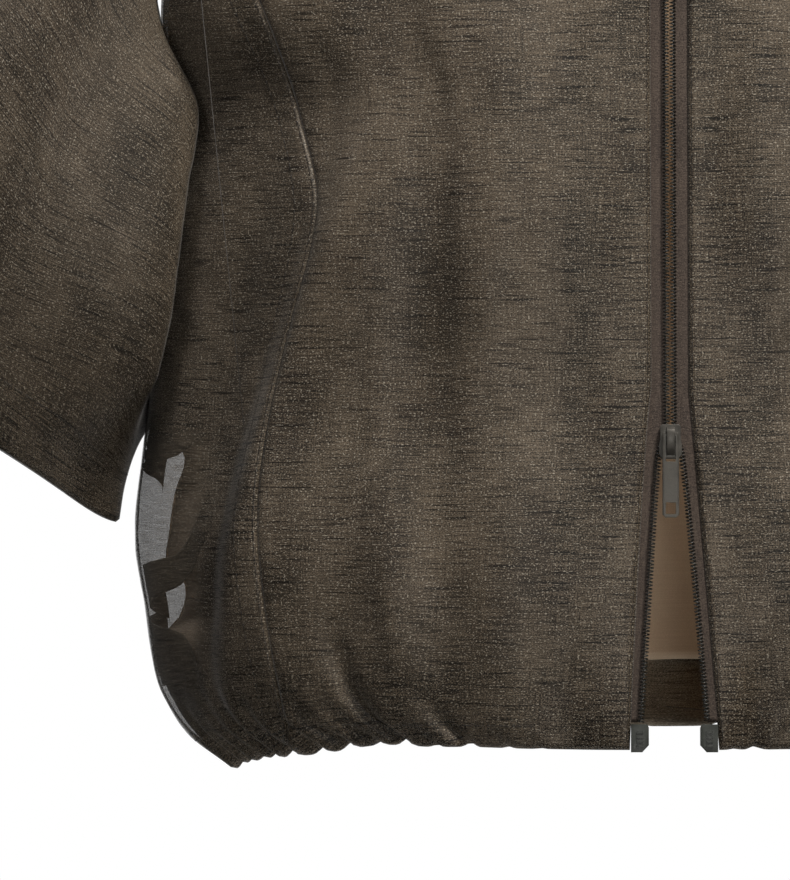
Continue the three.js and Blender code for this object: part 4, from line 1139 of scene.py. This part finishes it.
    def tucks(self, side: Side) -> None:
        """The three loose folds at one side; only shell cloth lies between them."""
        self.tuck(side, "high",
                  Curve(((92, 247), (100, 243), (110, 236), (128, 222), (141, 208), (170, 200))),
                  Curve(((92, 248), (170, 248))), 1.1)
        self.tuck(side, "middle", Curve(((50, 236), (56, 230), (66, 225), (74, 219), (83, 215), (90, 211),
                                         (100, 208), (112, 211))),
                  Curve(((50, 240), (66, 240), (73, 234), (84, 224), (100, 216.5), (112, 212))), 2.2)
        self.tuck(side, "low", Curve(((30, 212), (38, 215), (44, 218), (49, 222.5), (57, 232))),
                  Curve(((30, 240), (57, 240))), 1.1)

    def elastic(self) -> None:
        """The gathered elastic ribbon, open across the flat front."""
        def surface(across: Array, up: Array) -> Array:
            """Place on the ribbon."""
            level = 2.5 + 6 * up
            start = BODY.angle_at(58.0, level)
            around = start + (2 * math.pi - 2 * start) * across
            return body_cloth(around, level, 2.0)

        grid = ClothGrid("elastic_ribbon", 420, 6, surface, body_axis, 0.6)
        obj = grid.build()
        self.dress(obj, self.finishes.ribbon, "elastic", "hem_elastic")
        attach(obj, GARMENT)
        self.sheet(grid, obj, "stretched", ["hem_turnup_back"])

    def build(self) -> None:
        """Makes the inside of the jacket."""
        for side in Side:
            self.lining_front(side)
            self.tucks(side)
            self.facing(side)
            self.hem_facing(side.word, *self.hem_ends(side), 90)
        self.lining_back()
        self.hem_facing("back", lambda level: BODY.back_edge(level, 1.0),
                        lambda level: 2 * math.pi - BODY.back_edge(level, 1.0), 200)
        self.elastic()

    @staticmethod
    def hem_ends(side: Side) -> tuple[Callable[[Array], Array], Callable[[Array], Array]]:
        """Where a front hem facing starts and ends round the body."""
        def start(level: Array) -> Array:
            """At the zip."""
            return side.sign * BODY.angle_at(BODY.zip_edge(side, level), level)

        def end(level: Array) -> Array:
            """At the side seam."""
            return side.sign * BODY.front_edge(level, 1.0)

        return start, end


@dataclass
class Collar(Jacket):
    """Stand collar in two layers."""

    height: float = 48.0
    taper: float = 0.97

    def point(self, around: Array, up: Array) -> Array:
        """A point of the collar, from the neck seam (0) to its top edge (1)."""
        base = BODY.neck(around)
        front = np.maximum(0, np.cos(around)) ** 2
        top = vec3(base[..., 0] * self.taper, base[..., 1] * self.taper, base[..., 2] + self.height)
        line = -BODY.front_depth(BODY.neck_front + self.height)
        top[..., 1] += (line - top[..., 1]) * front
        share = np.asarray(up)[..., None]
        return base * (1 - share) + top * share

    def normal(self, around: Array, up: Array) -> Array:
        """Outward direction of the collar."""
        across = self.point(around + 0.004, up) - self.point(around - 0.004, up)
        return unit(np.cross(across, self.point(around, up + 0.01) - self.point(around, up - 0.01)))

    def start(self, up: Array) -> Array:
        """Angle of the collar's front edge."""
        low, high = np.zeros(up.shape), np.full(up.shape, math.pi / 2)
        for _ in range(34):
            middle = (low + high) / 2
            short = self.point(middle, up)[..., 0] < 8.0
            low, high = np.where(short, middle, low), np.where(short, high, middle)
        return (low + high) / 2

    def layer(self, name: str, node: str, depth: float, turned: float) -> None:
        """One layer of the collar, whose top edge turns over by a little towards the other layer."""
        def surface(across: Array, up: Array) -> Array:
            """Place on the collar."""
            start = self.start(up[:, :1])
            around = start + (2 * math.pi - 2 * start) * across
            from_top = (1 - up) * self.height
            edge = np.minimum(across, 1 - across) * 420
            sink = turned * (roll(from_top, 1.4) + roll(edge, 1.2))
            soft = Ripples(31, 0.35, 25, 70, 0.7).at(around * 75, up * self.height) * smooth(8, 40, edge)
            inward = self.normal(around, up) * (depth + sink - soft)[..., None]
            return self.point(around, 0.01 + 0.99 * up) - inward

        grid = ClothGrid(name, 160, 26, surface, body_axis)
        obj = grid.build()
        self.dress(obj, self.finishes.shell, "shell_cloth", node)
        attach(obj, GARMENT)
        self.sheet(grid, obj, "hung", ["back_panel"])

    def build(self) -> None:
        """Makes both layers."""
        self.layer("collar_face", "collar_outer", 0.0, 1.0)
        self.layer("collar_back", "collar_inner", 2.9, -1.0)


@dataclass
class Sleeves(Jacket):
    """Both sleeves with their turned-up hems."""

    hem_depth: float = 36.0

    def sleeve(self, side: Side) -> None:
        """A sleeve and its hem."""
        length = float(np.linalg.norm(SLEEVE.root(np.zeros(1)) - SLEEVE.hem(np.zeros(1))))
        share = self.hem_depth / length
        axis = sleeve_axis(side.sign)

        def outer(across: Array, up: Array) -> Array:
            """Place on the sleeve."""
            return SLEEVE.cloth(side.sign, across * 2 * math.pi, up, roll(up * 300, 1.4))

        def inner(across: Array, up: Array) -> Array:
            """Place on the turned-up hem."""
            return SLEEVE.cloth(side.sign, across * 2 * math.pi, 0.003 + (share - 0.003) * up, 1.9)

        def lined(across: Array, up: Array) -> Array:
            """Place on the sleeve's lining."""
            return SLEEVE.cloth(side.sign, across * 2 * math.pi, share - 0.01 + (0.985 - share) * up, 2.9)

        shell, lining = self.finishes.shell, self.finishes.lining
        for name, nodes, rows, surface, rest, material, slot in (
                (f"sleeve_cloth_{side.word}", [f"sleeve_{side.word}"], 130, outer, "back_panel", shell,
                 "shell_cloth"),
                (f"sleeve_turnup_{side.word}", [f"sleeve_hem_{side.word}"], 18, inner, f"sleeve_cloth_{side.word}",
                 self.finishes.fused_painted_paler, "shell_cloth"),
                (f"sleeve_lining_{side.word}", [], 80, lined, f"sleeve_cloth_{side.word}", lining,
                 "lining_cloth")):
            grid = ClothGrid(name, 190, rows, surface, axis, wraps=True)
            obj = grid.build()
            self.dress(obj, material, slot, *nodes)
            self.bend(obj, side)
            self.sheet(grid, obj, "hung", [rest])

    @staticmethod
    def bend(obj: bpy.types.Object, side: Side) -> None:
        """Bakes the piece's placement into its mesh."""
        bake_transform(obj)

    def build(self) -> None:
        """Makes both sleeves."""
        for side in Side:
            self.sleeve(side)


@dataclass
class Zip(Jacket):
    """Tapes, coils, moulded end blocks, stops, sliders and pulls."""

    pitch: float = 1.5
    tilt: float = math.atan(0.07)
    spread_at_slider: float = 5.2
    slider_length: float = 14.5
    mouth: float = 124.5 / math.cos(math.atan(0.07))
    top: float = 543.0 / math.cos(math.atan(0.07)) - 1

    @property
    def upper_mouth(self) -> float:
        """Height of the upper slider's mouth, which points up."""
        return self.top - 2.5

    def in_plane(self, x: Array, depth: Array, z: Array) -> Array:
        """A point given in the zip's own leaning plane."""
        c, s = math.cos(self.tilt), math.sin(self.tilt)
        return vec3(x, -122 + depth * c + z * s, -depth * s + z * c)

    def coil_x(self, side: Side, z: Array) -> Array:
        """Distance of the coil's middle from the zip line."""
        half, spreading = self.pitch, self.spread_at_slider - self.pitch
        throat = self.upper_mouth - self.slider_length
        upper = half + spreading * smooth(0, self.slider_length, z - throat)
        lower = half + spreading * smooth(0, 1, 1 - (z - self.mouth) / self.slider_length)
        at_hem = side.coil_gap + half
        opened = np.clip(1 - z / self.mouth, 0, 1)
        below = self.spread_at_slider + (at_hem - self.spread_at_slider) * opened**0.9
        return np.where(z >= throat, upper, np.where(z >= self.mouth, lower, below))

    def coil(self, side: Side) -> None:
        """A coil, wound as one continuous thread."""
        low, turn_steps = 11.8 + (0.75 if side.sign > 0 else 0), 8
        turns = int((self.top - low - 0.8) / self.pitch)
        bm = bmesh.new()
        ring = bmesh.ops.create_circle(bm, segments=5, radius=0.30, matrix=Matrix.Translation((1.25, 0, 0))
                                       @ Matrix.Rotation(math.pi / 2, 4, "X"))["verts"]
        edges = {e for v in ring for e in v.link_edges}
        bmesh.ops.spin(bm, geom=[*ring, *edges], cent=(0, 0, 0), axis=(0, 0, 1), use_merge=False,
                       dvec=(0, 0, self.pitch / turn_steps), angle=2 * math.pi, steps=turn_steps)
        wound = repeat(bm, turns) + np.arange(turns)[:, None, None] * np.array([0, 0, self.pitch])
        co = wound.reshape(-1, 3)
        for vert, where in zip(bm.verts, co):
            vert.co = where
        bmesh.ops.remove_doubles(bm, verts=bm.verts, dist=0.01)
        bmesh.ops.holes_fill(bm, edges=[e for e in bm.edges if e.is_boundary], sides=5)
        co = np.array([v.co for v in bm.verts])
        z = co[:, 2] + low
        middle = self.coil_x(side, z)
        placed = place(self.in_plane(side.sign * (middle - co[:, 0]), co[:, 1] * 0.72 + 0.35, z))
        for vert, p in zip(bm.verts, placed):
            vert.co = p
        bmesh.ops.recalc_face_normals(bm, faces=bm.faces)
        obj = mesh_object(f"coil_{side.word}", bm)
        self.dress(obj, self.finishes.coil, "coil", f"zip_coil_{side.word}")
        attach(obj, GARMENT)

    def tape(self, side: Side) -> None:
        """The woven tape that carries a coil."""
        def surface(across: Array, up: Array) -> Array:
            """Place on the tape."""
            z = 11.8 + (self.top - 11.8) * up
            inner = self.coil_x(side, z) + 0.3
            outer = BODY.zip_edge(side, z) + 5.5
            cord = 0.25 * np.exp(-((((outer - inner) * across) / 0.6) ** 2))
            return self.in_plane(side.sign * (inner + (outer - inner) * across), 1.9 - cord, z)

        grid = ClothGrid(f"tape_{side.word}", 20, 260, surface, body_axis, 0.5)
        obj = grid.build()
        self.dress(obj, self.finishes.tape, "zip_tape", f"zip_tape_{side.word}")
        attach(obj, GARMENT)
        self.sheet(grid, obj, "hung", [f"front_panel_{side.word}"])

    def hardware(self, frame: dict, node: str, name: str, body: str, material: bpy.types.Material, slot: str,
                 radius: float) -> None:
        """A moulded or cast piece: the CAD shape with its edges rounded.

        Args:
            node: the CAD node that it follows.
            name: the piece's name.
            body: the body it rides on.
            material: its finish.
            slot: not used.
            radius: of the rounded edges, in millimetres.
        """
        bm = bmesh.new()
        bm.from_mesh(frame["nodes"][node].data)
        bmesh.ops.remove_doubles(bm, verts=bm.verts, dist=1e-6)
        bmesh.ops.dissolve_limit(bm, angle_limit=math.radians(2), verts=bm.verts, edges=bm.edges)
        sharp = [e for e in bm.edges if len(e.link_faces) == 2 and e.calc_face_angle() > math.radians(28)]
        bmesh.ops.bevel(bm, geom=sharp, offset=radius * MM, offset_type="OFFSET", segments=3, profile=0.5,
                        affect="EDGES", clamp_overlap=True, material=-1)
        bmesh.ops.triangulate(bm, faces=[f for f in bm.faces if len(f.verts) > 4])
        obj = mesh_object(name, bm)
        obj.data.set_sharp_from_angle(angle=math.radians(35))
        self.dress(obj, material, slot, node)
        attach(obj, body)

    def build(self, frame: dict) -> None:
        """Makes the whole zip."""
        for side in Side:
            self.coil(side)
            self.tape(side)
            self.hardware(frame, f"zip_end_block_{side.word}", f"end_block_{side.word}", GARMENT,
                          self.finishes.block, "moulded_block", 0.3)
            self.hardware(frame, f"top_stop_{side.word}", f"stop_{side.word}", GARMENT, self.finishes.metal,
                          "slider_metal", 0.2)
        for which in ("lower", "upper"):
            self.hardware(frame, f"slider_{which}", f"slider_body_{which}", f"slider_{which}", self.finishes.metal,
                          "slider_metal", 0.22)
            self.hardware(frame, f"pull_{which}", f"pull_tab_{which}", f"pull_{which}", self.finishes.metal,
                          "slider_metal", 0.25)


@dataclass
class Seams(Jacket):
    """Rows of stitches that show."""

    stitches: Stitches = field(default_factory=Stitches)

    def body_line(self, around: Array, level: Array) -> tuple[Array, Array]:
        """A line on the draped surface, with its outward directions."""
        return body_cloth(around, level, -0.02), BODY.normal(around, level)

    def placket(self, side: Side) -> None:
        """Stitches beside the zip and at the hem casing."""
        level = np.linspace(3, BODY.top - 4, 240)
        edge = BODY.angle_at(BODY.zip_edge(side, level) + 1.6, level)
        seam_level = np.linspace(4, BODY.seam_top - 8, 200)
        seam = BODY.panel_seam(seam_level)
        around = np.linspace(BODY.angle_at(58.0, 10.0).item(), math.pi, 500)
        casing = np.full_like(around, 10.0)
        lines = [self.body_line(side.sign * edge, level), self.body_line(side.sign * around, casing)]
        for width in (0.9, 7.0):
            row = np.minimum(seam + BODY.gap(width, seam_level), BODY.front_edge(seam_level, 3.0))
            lines.append(self.body_line(side.sign * row, seam_level))
        self.finish(f"stitches_body_{side.word}", lines)

    def armhole(self, side: Side) -> None:
        """Stitches round the armhole, on the body."""
        turn = np.linspace(0, 2 * math.pi, 240)
        spread = np.where(np.sin(turn) > 0, BODY.front_spread, BODY.back_spread) + 0.018
        middle, half = (BODY.underarm + BODY.shoulder) / 2, (BODY.shoulder - BODY.underarm) / 2 + 2
        around = math.pi / 2 - spread * np.sin(turn)
        level = middle + half * np.cos(turn)
        self.finish(f"stitches_armhole_{side.word}", [self.body_line(side.sign * around, level)])

    def sleeve_hem(self, side: Side) -> None:
        """Stitches that hold the sleeve's turned-up hem."""
        turn = np.linspace(0, 2 * math.pi, 400)
        length = float(np.linalg.norm(SLEEVE.root(np.zeros(1)) - SLEEVE.hem(np.zeros(1))))
        up = np.full_like(turn, 35.0 / length)
        points = SLEEVE.cloth(side.sign, turn, up, np.full_like(turn, -0.02))
        across = np.gradient(points, axis=0)
        along = SLEEVE.cloth(side.sign, turn, up + 0.01, np.full_like(turn, -0.02)) - points
        normals = unit(np.cross(along, across)) * side.sign
        obj = self.stitches.build(f"stitches_sleeve_{side.word}", [(points, normals)])
        self.dress(obj, self.finishes.thread, "shell_cloth")
        Sleeves.bend(obj, side)

    def finish(self, name: str, lines: list[tuple[Array, Array]]) -> None:
        """Makes rows of stitches that ride on the garment."""
        obj = self.stitches.build(name, lines)
        self.dress(obj, self.finishes.thread, "shell_cloth")
        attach(obj, GARMENT)

    def build(self) -> None:
        """Makes all rows."""
        for side in Side:
            self.placket(side)
            self.armhole(side)
            self.sleeve_hem(side)


# ---- Studio --------------------------------------------------------------------------------


@dataclass(frozen=True)
class Studio:
    """Camera, white surroundings, soft lights and a small pale floor well below the jacket."""

    camera_x: float = -0.118
    camera_z: float = -0.4126
    distance: float = 2.9
    front: float = -0.184
    frame_height: float = 0.376
    aim: tuple[float, float, float] = (-0.05, -0.06, -0.35)
    ambient: float = 0.015  # strength of the white surroundings as a light
    floor_z: float = -1.0
    floor_half: float = 0.4  # small and far down, because light thrown up by a large one flattens the folds

    def camera(self) -> None:
        """A long lens straight at the lower front."""
        data = bpy.data.cameras.new("camera")
        data.sensor_width = 36.0
        data.lens = 36.0 * self.distance / self.frame_height
        data.clip_start, data.clip_end = 0.05, 30.0
        camera = bpy.data.objects.new("camera", data)
        camera.location = (self.camera_x, self.front - self.distance, self.camera_z)
        camera.rotation_euler = (math.pi / 2, 0, 0)
        bpy.context.scene.collection.objects.link(camera)
        bpy.context.scene.camera = camera

    def light(self, name: str, where: tuple[float, float, float], size: float, watts: float,
              tint: str) -> None:
        """A square soft light aimed at the jacket."""
        data = bpy.data.lights.new(name, "AREA")
        data.energy, data.size, data.color = watts, size, linear(tint)[:3]
        lamp = bpy.data.objects.new(name, data)
        lamp.location = where
        aim = Vector(self.aim) - Vector(where)
        lamp.rotation_euler = aim.to_track_quat("-Z", "Y").to_euler()
        bpy.context.scene.collection.objects.link(lamp)

    def surroundings(self) -> None:
        """White to look at, and a softer white as a light."""
        world = bpy.data.worlds.new("studio_white")
        world.use_nodes = True
        world.node_tree.nodes.clear()
        tree = world.node_tree
        ray = add(tree, "LightPath").outputs["Is Camera Ray"]
        strength = add(tree, "MapRange", {0: ray, 1: 0.0, 2: 1.0, 3: self.ambient, 4: 1.0}).outputs[0]
        back = add(tree, "Background", {"Color": linear("#ffffff"), "Strength": strength})
        add(tree, "OutputWorld", {"Surface": back.outputs[0]})
        bpy.context.scene.world = world
        bpy.context.scene.view_settings.view_transform = "Standard"

    def floor(self) -> None:
        """A plain pale floor."""
        bm = bmesh.new()
        bmesh.ops.create_grid(bm, x_segments=1, y_segments=1, size=self.floor_half,
                              matrix=Matrix.Translation((0, -0.06, self.floor_z)))
        obj = mesh_object("floor", bm, smooth_faces=False)
        paint = HardFinish("studio_floor_painted", "#dddcd9", "#e4e3e0", 0.8, grit=20).make()
        obj.data.materials.append(paint)

    def build(self) -> None:
        """Sets up the studio."""
        self.camera()
        self.surroundings()
        self.light("key", (0.7, -1.35, 1.75), 0.6, 108, "#fffaf3")
        self.light("front", (0.1, -3.15, -0.42), 0.3, 13, "#fffdf8")
        self.light("sleeve", (-1.7, -1.0, 1.9), 0.7, 30, "#f6f8ff")
        self.light("back", (-0.4, 2.3, 1.3), 1.4, 42, "#ffffff")
        self.floor()


def main() -> None:
    """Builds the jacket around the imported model."""
    logging.basicConfig(level=logging.INFO, format="%(name)s %(relativeCreated)d ms %(message)s")
    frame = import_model()
    Studio().build()
    finishes = Finishes()
    Shell(finishes).build()
    Linings(finishes).build()
    Collar(finishes).build()
    Sleeves(finishes).build()
    Zip(finishes).build(frame)
    Seams(finishes).build()


if __name__ == "__main__":
    main()
